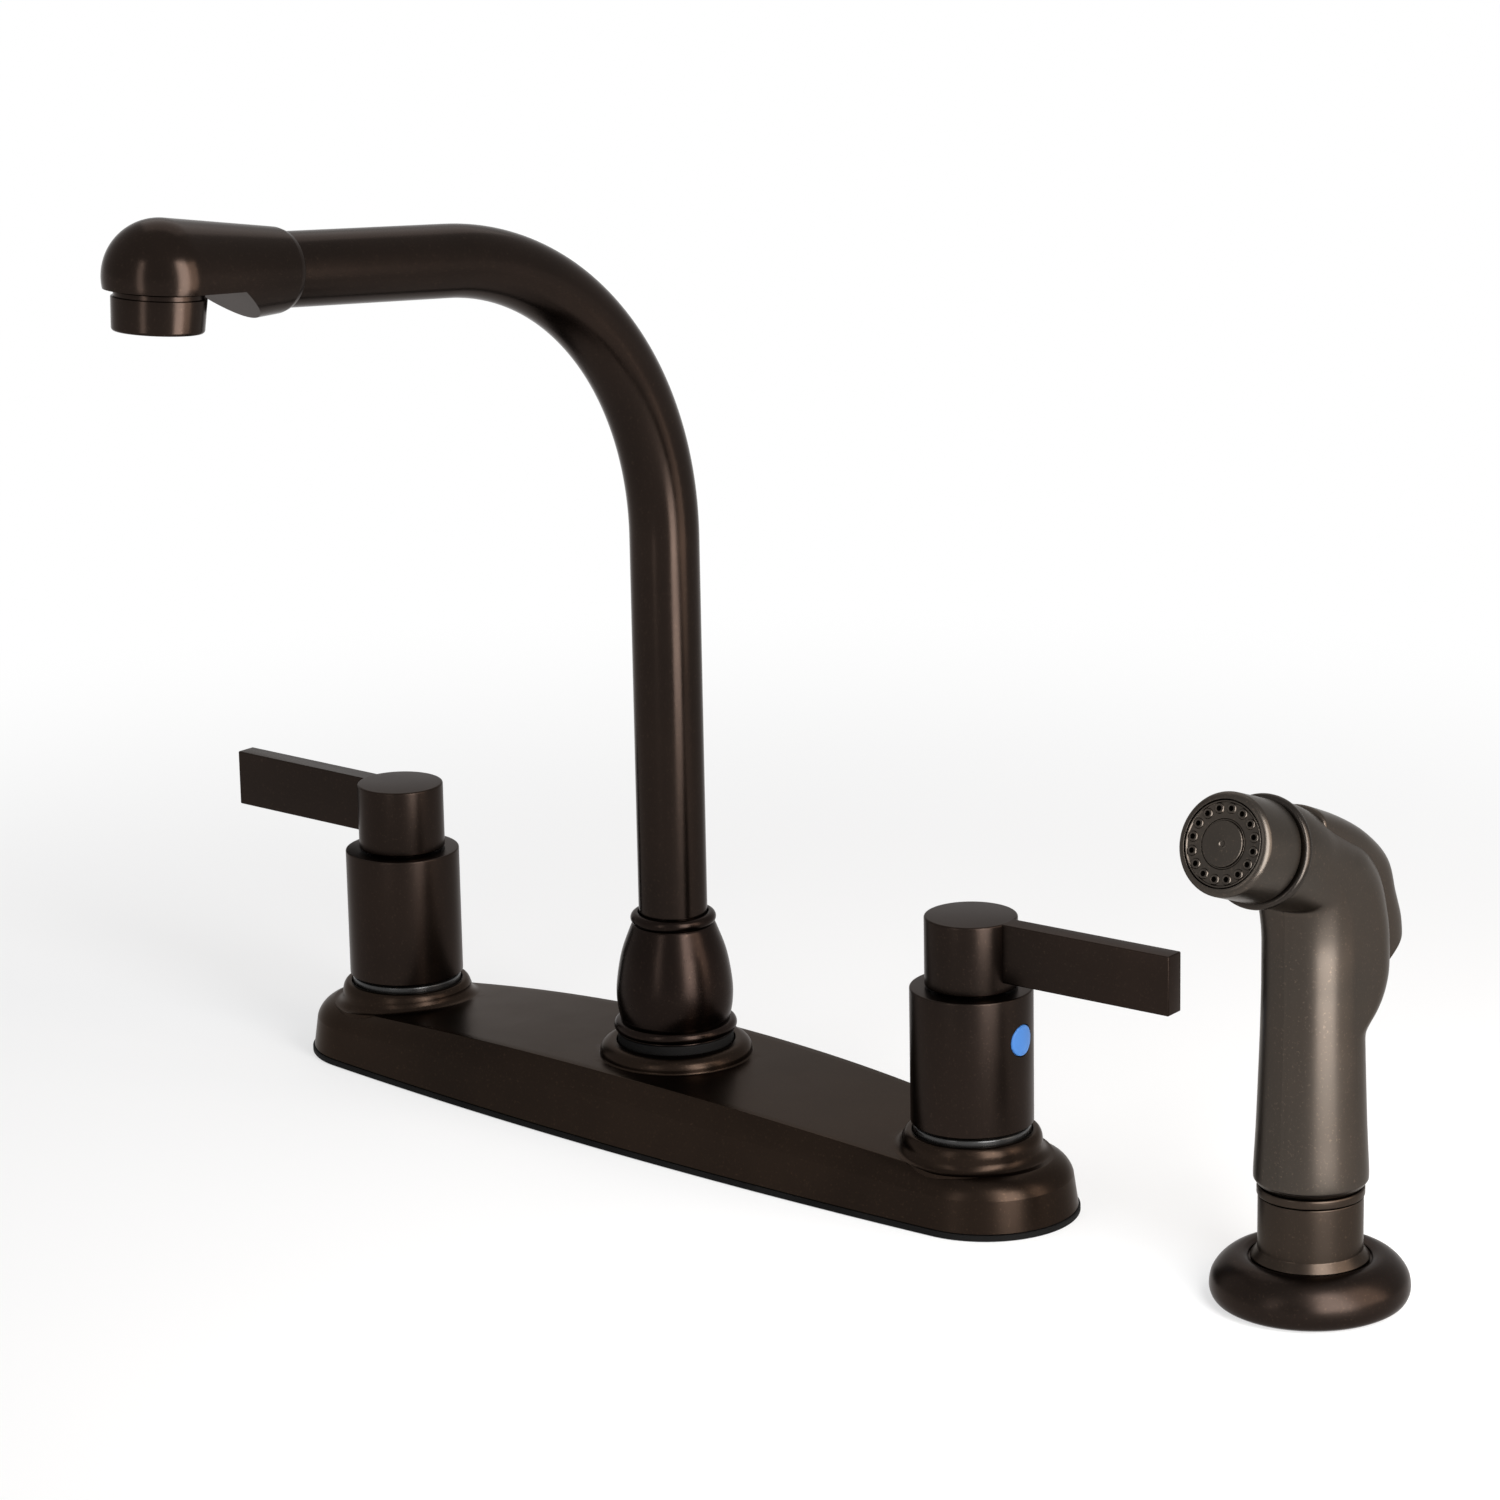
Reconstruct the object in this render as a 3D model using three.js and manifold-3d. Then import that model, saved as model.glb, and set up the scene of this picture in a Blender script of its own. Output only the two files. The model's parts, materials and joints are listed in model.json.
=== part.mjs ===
// A two handle kitchen faucet on a deck plate, with a swivelling gooseneck spout and a side sprayer.
// Millimetres, Z up. The origin is on the spout's axis at the sink deck. The spout points towards -Y,
// and cold is +X.

import * as THREE from "three";
import { mergeVertices } from "three/addons/utils/BufferGeometryUtils.js";
import Module from "manifold-3d";

const wasm = await Module();
wasm.setup();

// ----------------------------------------------------------------------------------------------------
// Driving dimensions

const SEAT = 0.3; // clearance between pieces that touch, and round anything that turns or slides
const FINE = 16; // sides of a round piece that shows
const PLAIN = 12; // sides of a round piece that is hidden
const SMALL = 8; // sides of a pin or a small hole
const TINY = 5; // sides of a wire or a spray hole

// Layout
const HANDLE_SPACING = 203.2; // eight-inch centres
const HANDLE_X = HANDLE_SPACING / 2;
const SPRAYER_X = 206.4;
const SPOUT_SWING = -1.2; // degrees that the spout stands off straight ahead
const WAND_SWING = 2.4;
const LEVER_SWING = { hot: 1.8, cold: 4.8 };
const SINK_DECK = 10; // thickness that the mounting nuts clamp

// Deck plate and gasket
const GASKET_THICKNESS = 1.5;
const GASKET_RIM = 7;
const PLATE_END_X = 105.8; // centre of each round end
const PLATE_END_RADIUS = 24.1;
const PLATE_HALF_WIDTH = 28.4; // at the middle
const PLATE_INSET = 0.5; // the plate stands back from the gasket's edge
const PLATE_TOP = 20.4;
const PLATE_CROWN_RADIUS = 1000;
const PLATE_WALL = 2.2;
const PLATE_WALL_LINE = 14; // height where the side wall turns into the bevel, at the middle
const PLATE_WALL_LINE_DROP = 4; // and how much lower it runs at the ends
const PLATE_DRAFT = 1.2;
const PLATE_BEVEL = 2.5; // inset of the bevel's top edge at the middle
const PLATE_BEVEL_LINEAR = 1.3;
const PLATE_BEVEL_END = 2.2;
const PLATE_BEVEL_BULGE = [-0.6, 0.8]; // how far the bevel's middle swells out and up at the ends

// Bosses on the plate
const BOSS_RADIUS = 17.9;
const BOSS_RISE = 5.8; // above the plate at the handle's axis
const BOSS_COVE = 1.7;
const BOSS_LIP = 0.9;
const BOSS_ROOT = 1.4; // how far the cove's foot lies in the plate
const BOSS_SINK = 0.5;
const BOSS_SHOULDER = [0.8, 1.2]; // inset and drop of the slope round the lip
const BOSS_RECESS = 1.4;
const HUB_BOSS_RADIUS = 20.4;
const HUB_BOSS_RISE = 3.9;
const HUB_BOSS_ROUND = 2.1;
const HUB_BOSS_RECESS = 1.6;
const HUB_BOSS_ROOT = 1.4;

// Waterway body
const VALVE_BODY_RADIUS = 13.2;
const NECK_RADIUS = 12.2; // threaded necks for the plate nuts, and the spout hub
const NECK_PROUD = 1.4; // above the plate nut
const SHOULDER_GAP = 0.4; // between a valve body's shoulder and the plate above it
const GUIDE_LAND = 4; // length of the bore that guides the cartridge
const CHAMBER_RADIUS = 10.7;
const CHAMBER_FLOOR = 7;
const INLET_BORE = 5.5;
const SHANK_RADIUS = 10.45; // half-inch pipe thread
const SHANK_DEPTH = 55; // below the sink deck
const BODY_BASE = 3;
const CROSS_TUBE_RADIUS = 5;
const CROSS_TUBE_BORE = 3.4;
const CROSS_TUBE_ENTRY = 1.7; // how far it runs into the wall of the valve chamber
const NIPPLE_RADIUS = 6.6; // hose outlet of the sprayer
const NIPPLE_BORE = 3.2;
const NIPPLE_DEPTH = 18;
const HUB_TOP = 44;
const HUB_SOCKET_RADIUS = 10.4;
const HUB_SOCKET_DEPTH = 14;
const HUB_BORE = 6;
const HUB_FLOOR = 2;

// Cartridges
const PLATE_NUT_WIDTH = 2.5;
const PLATE_NUT_HEIGHT = 2.6;
const CARTRIDGE_RADIUS = 9.3;
const CARTRIDGE_SKIRT = 1.2; // below the lower disc's underside
const WINDOW_SILL = 0.4; // above the upper disc's underside
const WINDOW_LINTEL = 0.8; // below the cartridge's roof
const DISC_RADIUS = 7.7;
const DISC_THICKNESS = 2.7;
const DISC_PLAY = 0.1; // the lapped faces of the two discs
const DISC_KEY_WIDTH = 2.6;
const PORT_INNER = 2.5;
const PORT_OUTER = 6.3;
const PORT_HALF_ANGLE = 38;
const SEAL_HEIGHT = 2.5;
const SEAL_BORE = 4;
const DRIVE_THICKNESS = 1.7;
const DRIVE_TANG = [7, 2.6, 1.2]; // length, width, depth
const STEM_RADIUS = 4;
const SPLINE_RADIUS = 3.8;
const SPLINE_LENGTH = 14;
const STEM_GAP = 1; // between the stem's end and its socket's
const HEX_RADIUS = 12;
const HEX_HEIGHT = 4;
const GUIDE_RADIUS = 7.4;
const GUIDE_HEIGHT = 13.8;

// Sleeves and handles
const SLEEVE_RADIUS = 15.7;
const SLEEVE_HEIGHT = 35.95;
const SLEEVE_WALL = 1.9;
const SLEEVE_CHAMFER = 0.6;
const SLEEVE_TOP_PLATE = 2.5;
const SLEEVE_WEB = 3;
const BUTTON_RADIUS = 4;
const BUTTON_DROP = 11.65; // centre below the sleeve's top
const BUTTON_AZIMUTH = 3.5;
const BUTTON_PROUD = 0.2;
const BUTTON_DEPTH = 1.4;
const BUTTON_CLEARANCE = 0.25;
const HANDLE_GAP = 0.55; // between the sleeve and the hub
const HUB_RADIUS = 11.85;
const HUB_HEIGHT = 18.1;
const HUB_EDGE = 0.5;
const SKIRT_RADIUS = 8.7;
const SKIRT_DEPTH = 14.3;
const LEVER_THICKNESS = 5.8;
const LEVER_HEIGHT = 15.4;
const LEVER_REACH = 60.3;
const LEVER_EDGE = 0.6;
const SOCKET_CROWN = 6.4; // metal above the stem's socket
const SCREW_RADIUS = 2.1;
const SCREW_SUNK = 0.8;
const SCREW_DROP = 11.4; // below the hub's top

// Spout
const TUBE_RADIUS = 9.1;
const TUBE_BORE = 8;
const BEND_RADIUS = 83;
const BEND_ANGLE = 84.35;
const BEND_START = 160.8;
const HEAD_SEAM = 51.5; // stations along the arm are counted from the end of the bend
const HEAD_SOCKET = 8.8;
const HEAD_LIP = 0.3;
const HEAD_START_RADIUS = 10.2;
const HEAD_SHOULDER = 4;
const HEAD_SLOPE = 0.0935; // the cone grows by this much per millimetre
const HEAD_CHAMFER = 0.4;
const HEAD_SWELL = 0.25; // half way along the shoulder the head is this much slimmer than at its end
const DOME_RADIUS = 13.6;
const DOME_STATION = 92.4;
const HEAD_FLAT = 3.2; // the flat below lies this far under the arm's axis
const NOTCH_BACK = 16.7; // the slanted cut starts this far behind the aerator's axis
const NOTCH_SLOPE = 32.9;
const HEAD_BORE = 7.5;
const NUT_LOW = 26.8;
const NUT_RING_RADIUS = 16.35;
const NUT_RING_HEIGHT = 3.3;
const NUT_BULB_RADIUS = 15.46;
const NUT_BEAD_RADIUS = 11.35;
const NUT_BULB = [
  // share of the height from the ring to the bead, and how far the form lies inside the bulb's radius
  [0, 0.9],
  [0.172, 0.1],
  [0.382, 0.1],
  [0.687, 1.46],
  [0.947, 3.86],
  [1, 4.56],
];
const NUT_FOOT_INSET = 0.8;
const NUT_MOUTH_GAP = 0.5; // round the tube
const NUT_HEIGHT = 32.7;
const BEAD_HALF_HEIGHT = 1.6;
const BUSHING_HEIGHT = 2.4;
const WASHER_RADIUS = 15.4; // black washer under the spout nut
const FITTING_RADIUS = 10;
const FITTING_BORE = 6.5;
const FITTING_FLANGE = 2;
const FITTING_FLANGE_RADIUS = 11.7;
const FITTING_END_GAP = 1;
const FITTING_SPIGOT = 5.7;
const ORING_SECTION = 0.95;
const ORING_PLAY = 0.2;
const ORING_STATIONS = [3.5, 8.5]; // above the fitting's lower end
const GROOVE_WIDTH = 2.6;
const DIVERTER_BORE = 3.6;
const DIVERTER_LOW = 13;
const POPPET_TRAVEL = 1.5;
const POPPET_HEAD = 1.8;
const POPPET_HEAD_RADIUS = 4.8;
const POPPET_PLAY = 0.4;
const POPPET_START = 4; // above the diverter's lower end

// Aerator
const AERATOR_RADIUS = 11.3;
const AERATOR_TAPER = 0.4;
const AERATOR_HEIGHT = 8.15;
const AERATOR_COLLAR = 10.7;
const AERATOR_COLLAR_HEIGHT = 1.25;
const AERATOR_THREAD = 9.5;
const AERATOR_THREAD_HEIGHT = 5;
const AERATOR_BORE = 8.6;
const AERATOR_LIP = 1.3;
const AERATOR_LIP_HEIGHT = 2;
const AERATOR_EDGE = 0.8;
const AERATOR_HOLE_ROOM = 2.4; // above the thread, for the washer
const WASHER_BORE = 6.6;
const INSERT_WALL = 1.5;
const INSERT_DECK = 1.4;
const INSERT_DROP = 0.5; // below the thread's top
const INSERT_HOLES = 6;
const INSERT_HOLE_RADIUS = 0.7;
const INSERT_HOLE_CIRCLE = 4.6;
const SCREEN_THICKNESS = 0.7;
const SCREEN_PITCH = 2.6;
const SCREEN_HALF_OPENING = 0.95;
const SCREEN_RIM = 1.6;

// Below the deck
const MOUNTING_WASHER_RADIUS = 20;
const MOUNTING_WASHER_THICKNESS = 1.6;
const MOUNTING_FLANGE_RADIUS = 21;
const MOUNTING_FLANGE_HEIGHT = 3;
const MOUNTING_HEX_RADIUS = 16;
const MOUNTING_HEX_HEIGHT = 11;

// Sprayer holder
const ESCUTCHEON_RADIUS = 24.3;
const ESCUTCHEON_HEIGHT = 13.3;
const ESCUTCHEON_RIM = 3;
const ESCUTCHEON_FOOT = [0.8, 0.3, 1]; // inset at the deck, inset and height of the round above it
const ESCUTCHEON_DOME = [
  // how far the form lies inside the escutcheon's radius, and its height
  [0, 2.5],
  [1.1, 7],
  [3.5, 10.1],
  [6.15, 12.5],
];
const ESCUTCHEON_WEB = 2; // thickness under the holder's foot
const ESCUTCHEON_WEB_INSET = 4; // height where the hollow under the dome starts
const ESCUTCHEON_SHOULDER = [0.6, 0.9, 2.1]; // gaps from the holder's foot to the seat, lip and rim
const ESCUTCHEON_LIP_DROP = 0.7;
const HOLDER_RADIUS = 12.75;
const HOLDER_FOOT_RADIUS = 14.4;
const HOLDER_FOOT_LOW = 11.2;
const HOLDER_FOOT_TOP = 17;
const HOLDER_TOP = 27.2;
const HOLDER_SHANK_RADIUS = 12.3;
const HOLDER_SHANK_DEPTH = 38;
const HOLDER_BORE = 10;
const HOLDER_FLARE = 0.2; // share of the flare that its two rounds take
const HOLDER_FLARE_ROUND = 1.5;
const HOLDER_NUT_RADIUS = 19;
const HOLDER_NUT_HEIGHT = 6;
const LINER_RADIUS = 11;
const LINER_WALL = 1.4;
const LINER_LIP_RADIUS = 13.05;
const LINER_LIP_HEIGHT = 2.2;
const LINER_LIP_EDGE = 0.3;
const LINER_LOW = 14.3;
const COUPLING_RADIUS = 9.2;
const COUPLING_BORE = 4.5;
const COUPLING_LOW = 10;
const COUPLING_SPIGOT_RADIUS = 7.5;
const COUPLING_SPIGOT_HEIGHT = 8;
const COUPLING_SEAL_SECTION = 0.6;
const COUPLING_SEAL_PLAY = 0.1;
const COUPLING_GROOVE_PLAY = 0.3;
const HOSE_INLET_RADIUS = 6.3;
const HOSE_INLET_LENGTH = 6;

// Wand. The back is how far a section reaches behind the wand's axis.
const WAND_GRIP = [
  // height above the sink deck, half width, back
  [30, 12.6, 12.6],
  [31.2, 13.6, 13.6],
  [33, 13.9, 13.9],
  [43, 13.4, 13.4],
];
const WAND_BULGE = [
  // distance below the elbow, half width, back
  [25.45, 12.6, 12.6],
  [21, 12.35, 12.6],
  [20.05, 12.3, 13.8],
  [16.75, 12.3, 18.2],
  [13.45, 12.3, 21],
  [9.45, 12.3, 22.7],
  [5.45, 12.3, 23.1],
];
const WAND_ELBOW = [
  // share of the elbow's turn, half width, back
  [0, 12.3, 22.9],
  [0.14, 12.3, 22],
  [0.28, 12.35, 21.1],
  [0.42, 12.4, 18.8],
  [0.57, 12.5, 15.2],
  [0.71, 12.6, 13.2],
  [1, 12.8, 12.8],
];
const WAND_BASE = WAND_GRIP[0][0];
const ELBOW_RADIUS = 29;
const NOZZLE_TURN = 70.25; // degrees between the grip and the nozzle
const NOZZLE_CROSSING = 109.85; // height where the nozzle's axis meets the grip's
const BODY_END = 23; // stations along the nozzle are counted from that crossing
const FLANGE_RADIUS = 13.7;
const FLANGE_THICKNESS = 2.6;
const FLANGE_ROUND = 1;
const SPIGOT_RADIUS = 8.7;
const SPIGOT_LENGTH = 9.7;
const SPIGOT_BORE = 6.5;
const SPIGOT_ROOT = 2;
const SPIGOT_FLOOR = 4.3; // the bore's floor lies this far inside the body's end
const CAP_RADIUS = 12.4;
const CAP_LENGTH = 15.1;
const CAP_RIM = 1.9;
const CAP_ROUND = 1.8;
const FACE_RECESS = 0.1;
const FACE_THICKNESS = 2.6;
const FACE_DISC_RADIUS = 5.5;
const FACE_DISC_RISE = 0.35;
const SPRAY_HOLES = 16;
const SPRAY_HOLE_RADIUS = 0.55;
const SPRAY_HOLE_CIRCLE = 8.4;
const SPRAY_HOLE_TURN = 8.2;
const WATERWAY_BORE = 2.6;
const WATERWAY_OFFSET = 5.5; // the grip's passage lies in front of its axis
const NOZZLE_PASSAGE_OFFSET = 6; // and the nozzle's below its own
const PASSAGE_START = 3; // both end this far from the crossing

// Trigger and valve. Heights are from the crossing of the wand's two axes.
const TRIGGER = [
  // from the tip to the foot: y and z of the flat inner side, y and z of the rounded outer side
  [-9, 9.15, -5.9, 15.85],
  [1, 3.35, 5.9, 11.85],
  [9.5, -2.35, 16.9, 6.05],
  [14.8, -8.85, 26.2, -1.85],
  [17.2, -14.85, 29.7, -10.95],
  [18.3, -19.85, 32.3, -17.45],
  [19.2, -27.3, 32.5, -22.8],
  [19.6, -31.45, 31.6, -25.25],
];
const TRIGGER_HALF_WIDTH = 8.2;
const TRIGGER_SIDES = 8; // of the rounded side
const TRIGGER_CLEARANCE = 0.4;
const TRIGGER_TRAVEL = 4; // degrees
const PIVOT = [-9, 6.35];
const PIVOT_PIN_RADIUS = 1.5;
const PIVOT_EAR_RADIUS = 3.4;
const PIVOT_EAR_HALF = 7;
const PIVOT_PIN_HALF = 10.5;
const VALVE = -23.85;
const PLUNGER_RADIUS = 3;
const PLUNGER_TIP = 18.2;
const PLUNGER_ROUND = [1.5, 1]; // inset and length of the slope at its tip
const PLUNGER_TAIL = 3; // from the chamber's front wall
const PLUNGER_SHOULDER_RADIUS = 4.8;
const PLUNGER_SHOULDER = 2;
const VALVE_CHAMBER_RADIUS = 5.2;
const VALVE_CHAMBER = [-6.5, 11.5]; // front and back wall
const SPRING_WIRE = 0.55;
const SPRING_TURNS = 4;
const SPRING_STEPS = 8; // in each turn

// ----------------------------------------------------------------------------------------------------
// Solids from three.js geometry

const DEGREE = Math.PI / 180;
const MERGE_DISTANCE = 1e-4;

function fromTriangles(geometry, corners) {
  const vertProperties = geometry.getAttribute("position").array;
  const triVerts = Uint32Array.from(corners);
  return new wasm.Manifold(new wasm.Mesh({ numProp: 3, vertProperties, triVerts }));
}

// A closed geometry as a solid, with shared vertices merged and its faces pointing out.
function solid(geometry) {
  const bare = new THREE.BufferGeometry();
  bare.setAttribute("position", geometry.getAttribute("position"));
  bare.setIndex(geometry.getIndex());
  const merged = mergeVertices(bare, MERGE_DISTANCE);
  const all = merged.getIndex().array;
  const corners = [];
  for (let i = 0; i < all.length; i += 3) {
    const [a, b, c] = all.slice(i, i + 3);
    if (a !== b && b !== c && c !== a) corners.push(a, b, c);
  }
  const made = fromTriangles(merged, corners);
  return made.volume() > 0 ? made : fromTriangles(merged, corners.reverse());
}

function geometryOf(body) {
  const mesh = body.getMesh();
  const positions = new Float32Array(mesh.numVert * 3);
  for (let i = 0; i < mesh.numVert; i += 1) {
    const start = i * mesh.numProp;
    positions.set(mesh.vertProperties.subarray(start, start + 3), i * 3);
  }
  const geometry = new THREE.BufferGeometry();
  geometry.setAttribute("position", new THREE.BufferAttribute(positions, 3));
  geometry.setIndex(new THREE.BufferAttribute(mesh.triVerts, 1));
  geometry.computeVertexNormals();
  return geometry;
}

const vectors = (points) => points.map(([x, y]) => new THREE.Vector2(x, y));
const pairs = (points) => points.map((point) => [point.x, point.y]);

// A profile of radius and height, turned about Z. It starts and ends on the axis, or closes on itself.
function turned(profile, sides = FINE) {
  const onAxis = profile[0][0] === 0;
  const points = vectors(onAxis ? profile : [...profile, profile[0]]);
  return solid(new THREE.LatheGeometry(points, sides).rotateX(Math.PI / 2));
}

const rod = (radius, low, high, sides = PLAIN) =>
  turned([[0, low], [radius, low], [radius, high], [0, high]], sides);

const ring = (inner, outer, low, high, sides = PLAIN) =>
  turned([[inner, low], [outer, low], [outer, high], [inner, high]], sides);

function box(x, y, z) {
  const geometry = new THREE.BoxGeometry(x[1] - x[0], y[1] - y[0], z[1] - z[0]);
  return solid(geometry.translate((x[0] + x[1]) / 2, (y[0] + y[1]) / 2, (z[0] + z[1]) / 2));
}

// An outline in X and Y, drawn out along Z.
function prism(outline, low, high, holes = []) {
  const shape = new THREE.Shape(vectors(outline));
  shape.holes = holes.map((hole) => new THREE.Path(vectors(hole)));
  const geometry = new THREE.ExtrudeGeometry(shape, { depth: high - low, bevelEnabled: false });
  return solid(geometry.translate(0, 0, low));
}

// An outline in Y and Z, drawn out along X to both sides.
const crossPrism = (outline, half) => prism(outline, -half, half).rotate([90, 0, 90]);

// Rings of points joined one after another; a ring drawn in to a line or a point closes an end.
function loft(rings) {
  const around = rings[0].length;
  const index = [];
  for (let k = 0; k + 1 < rings.length; k += 1) {
    for (let i = 0; i < around; i += 1) {
      const a = k * around + i;
      const b = k * around + ((i + 1) % around);
      index.push(a, b, b + around, a, b + around, a + around);
    }
  }
  const geometry = new THREE.BufferGeometry();
  geometry.setAttribute("position", new THREE.Float32BufferAttribute(rings.flat(2), 3));
  geometry.setIndex(index);
  return solid(geometry);
}

function arc(cx, cy, radius, from, to, steps) {
  const points = [];
  for (let i = 0; i <= steps; i += 1) {
    const angle = (from + ((to - from) * i) / steps) * DEGREE;
    points.push([cx + radius * Math.cos(angle), cy + radius * Math.sin(angle)]);
  }
  return points;
}

const circle = (radius, sides) => arc(0, 0, radius, 0, 360, sides).slice(0, -1);
const smooth = (points, steps) => pairs(new THREE.SplineCurve(vectors(points)).getPoints(steps));
const join = (...bodies) => bodies.reduce((whole, body) => whole.add(body));

// Copies of a body at even steps about Z, the first one half a step from where it stands.
const aroundZ = (body, count) =>
  Array.from({ length: count }, (_, i) => body.rotate([0, 0, ((i + 0.5) * 360) / count]));

const cut = (whole, ...tools) => tools.reduce((left, tool) => left.subtract(tool), whole);

// ----------------------------------------------------------------------------------------------------
// Finishes

const FINISHES = {
  bronze: { color: 0x2e241f, roughness: 0.36, metalness: 0.85 },
  plateBronze: { color: 0x3a2a20, roughness: 0.34, metalness: 0.85 },
  sprayBronze: { color: 0x5e5048, roughness: 0.4, metalness: 0.8 },
  brass: { color: 0xb08d4a, roughness: 0.35, metalness: 1 },
  steel: { color: 0xb9bcc0, roughness: 0.3, metalness: 1 },
  rubber: { color: 0x151515, roughness: 0.85, metalness: 0 },
  plastic: { color: 0xd9d9d4, roughness: 0.5, metalness: 0 },
  darkPlastic: { color: 0x1d1c1c, roughness: 0.45, metalness: 0 },
  ceramic: { color: 0xeeeae2, roughness: 0.25, metalness: 0 },
  blue: { color: 0x3f78c4, roughness: 0.35, metalness: 0 },
  red: { color: 0xb3261e, roughness: 0.35, metalness: 0 },
};

function piece(name, body, finish) {
  const mesh = new THREE.Mesh(geometryOf(body), new THREE.MeshStandardMaterial(FINISHES[finish]));
  mesh.name = name;
  return mesh;
}

function group(pieces, place = {}) {
  const made = new THREE.Group();
  made.add(...pieces);
  made.position.set(...(place.position ?? [0, 0, 0]));
  made.rotation.set(...(place.turn ?? [0, 0, 0]).map((angle) => angle * DEGREE));
  return made;
}

// ----------------------------------------------------------------------------------------------------
// Deck plate

// The side arcs are tangent to the round ends, so their radius follows from the plate's sizes.
const SIDE_BULGE = PLATE_HALF_WIDTH - PLATE_END_RADIUS;
const SIDE_CENTRE = (PLATE_END_X ** 2 - SIDE_BULGE ** 2) / (2 * SIDE_BULGE);
const SIDE_RADIUS = SIDE_CENTRE + PLATE_HALF_WIDTH;
const SIDE_ANGLE = Math.atan2(PLATE_END_X, SIDE_CENTRE) / DEGREE;
const END_STEPS = 9;
const SIDE_STEPS = 5;

const crown = (x) => PLATE_TOP - Math.min(Math.abs(x), PLATE_END_X) ** 2 / (2 * PLATE_CROWN_RADIUS);

// Points round the gasket's outline, anticlockwise, each with the direction that points out.
function outlineStations() {
  const stations = [];
  for (const side of [1, -1]) {
    for (const [x, y] of arc(0, 0, 1, SIDE_ANGLE - 90, 90 - SIDE_ANGLE, END_STEPS).slice(0, -1)) {
      const centre = [PLATE_END_X, 0];
      stations.push({ centre, radius: PLATE_END_RADIUS, out: [x, y], side });
    }
    for (const [x, y] of arc(0, 0, 1, 90 - SIDE_ANGLE, 90 + SIDE_ANGLE, SIDE_STEPS).slice(0, -1)) {
      const centre = [0, -SIDE_CENTRE];
      stations.push({ centre, radius: SIDE_RADIUS, out: [x, y], side });
    }
  }
  return stations;
}

// The point of a station that lies this far inside the outline. The second half is the first, turned round.
function inside({ centre, radius, out, side }, inset) {
  const reach = radius - inset;
  return [side * (centre[0] + reach * out[0]), side * (centre[1] + reach * out[1])];
}

const outline = (inset) => outlineStations().map((station) => inside(station, inset));

// Inset and height from the plate's foot to its top edge. The share runs from 0, the middle, to 1, the ends.
function plateSection(share, top) {
  const wall = [PLATE_DRAFT, PLATE_WALL_LINE - PLATE_WALL_LINE_DROP * share - (PLATE_TOP - top.middle)];
  const edge = [PLATE_BEVEL + PLATE_BEVEL_LINEAR * share + PLATE_BEVEL_END * share ** 4, top.here];
  const bulge = PLATE_BEVEL_BULGE.map((most) => most * share ** 2);
  const control = [0, 1].map((i) => (wall[i] + edge[i]) / 2 + bulge[i]);
  const curve = new THREE.QuadraticBezierCurve(...vectors([wall, control, edge]));
  return pairs(curve.getPoints(2));
}

// The plate's outside, or the hollow inside it, which is smaller all round by shrink.
function plateForm(shrink, foot) {
  const columns = outlineStations().map((station) => {
    const [x] = inside(station, 0);
    const spine = Math.sign(x) * Math.min(Math.abs(x), PLATE_END_X);
    const top = { here: crown(x) - shrink, middle: PLATE_TOP - shrink };
    const section = [[0, foot], ...plateSection(Math.abs(spine) / PLATE_END_X, top)];
    const points = section.map(([inset, z]) => [...inside(station, PLATE_INSET + shrink + inset), z]);
    return [[spine, 0, foot], ...points, [spine, 0, top.here]];
  });
  return loft(columns[0].map((_, level) => columns.map((column) => column[level])));
}

const BOSS_TOP = crown(HANDLE_X) + BOSS_RISE;
const BOSS_FLOOR = BOSS_TOP - BOSS_RECESS;
const HUB_BOSS_TOP = PLATE_TOP + HUB_BOSS_RISE;
const HUB_BOSS_FLOOR = HUB_BOSS_TOP - HUB_BOSS_RECESS;
const PLATE_NUT_RADIUS = NECK_RADIUS + SEAT + PLATE_NUT_WIDTH;

function handleBoss() {
  const lip = PLATE_NUT_RADIUS + SEAT;
  const coveTop = crown(HANDLE_X) + BOSS_COVE - BOSS_SINK;
  const root = crown(HANDLE_X) - BOSS_ROOT;
  const [inset, drop] = BOSS_SHOULDER;
  return turned([
    [0, root],
    [BOSS_RADIUS + BOSS_COVE, root],
    ...arc(BOSS_RADIUS + BOSS_COVE, coveTop, BOSS_COVE, 270, 180, 2),
    [BOSS_RADIUS - inset, BOSS_TOP - drop],
    [lip + BOSS_LIP, BOSS_TOP],
    [lip, BOSS_TOP],
    [lip, BOSS_FLOOR],
    [0, BOSS_FLOOR],
  ]);
}

function hubBoss() {
  const lip = WASHER_RADIUS + SEAT;
  const round = [HUB_BOSS_RADIUS - HUB_BOSS_ROUND, HUB_BOSS_TOP - HUB_BOSS_ROUND];
  return turned([
    [0, PLATE_TOP - HUB_BOSS_ROOT],
    [HUB_BOSS_RADIUS, PLATE_TOP - HUB_BOSS_ROOT],
    ...arc(...round, HUB_BOSS_ROUND, 0, 90, 2),
    [lip, HUB_BOSS_TOP],
    [lip, HUB_BOSS_FLOOR],
    [0, HUB_BOSS_FLOOR],
  ]);
}

const GASKET_SEAT = GASKET_THICKNESS + SEAT;

function deckPlate() {
  const shell = plateForm(0, GASKET_SEAT).subtract(plateForm(PLATE_WALL, GASKET_SEAT - 1));
  const sides = [-HANDLE_X, HANDLE_X];
  const bosses = sides.map((x) => handleBoss().translate([x, 0, 0]));
  const hole = rod(NECK_RADIUS + SEAT, 0, HUB_BOSS_TOP, FINE);
  const holes = [0, ...sides].map((x) => hole.translate([x, 0, 0]));
  return cut(join(shell, hubBoss(), ...bosses), ...holes);
}

const gasket = () => prism(outline(0), 0, GASKET_THICKNESS, [outline(GASKET_RIM)]);

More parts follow.
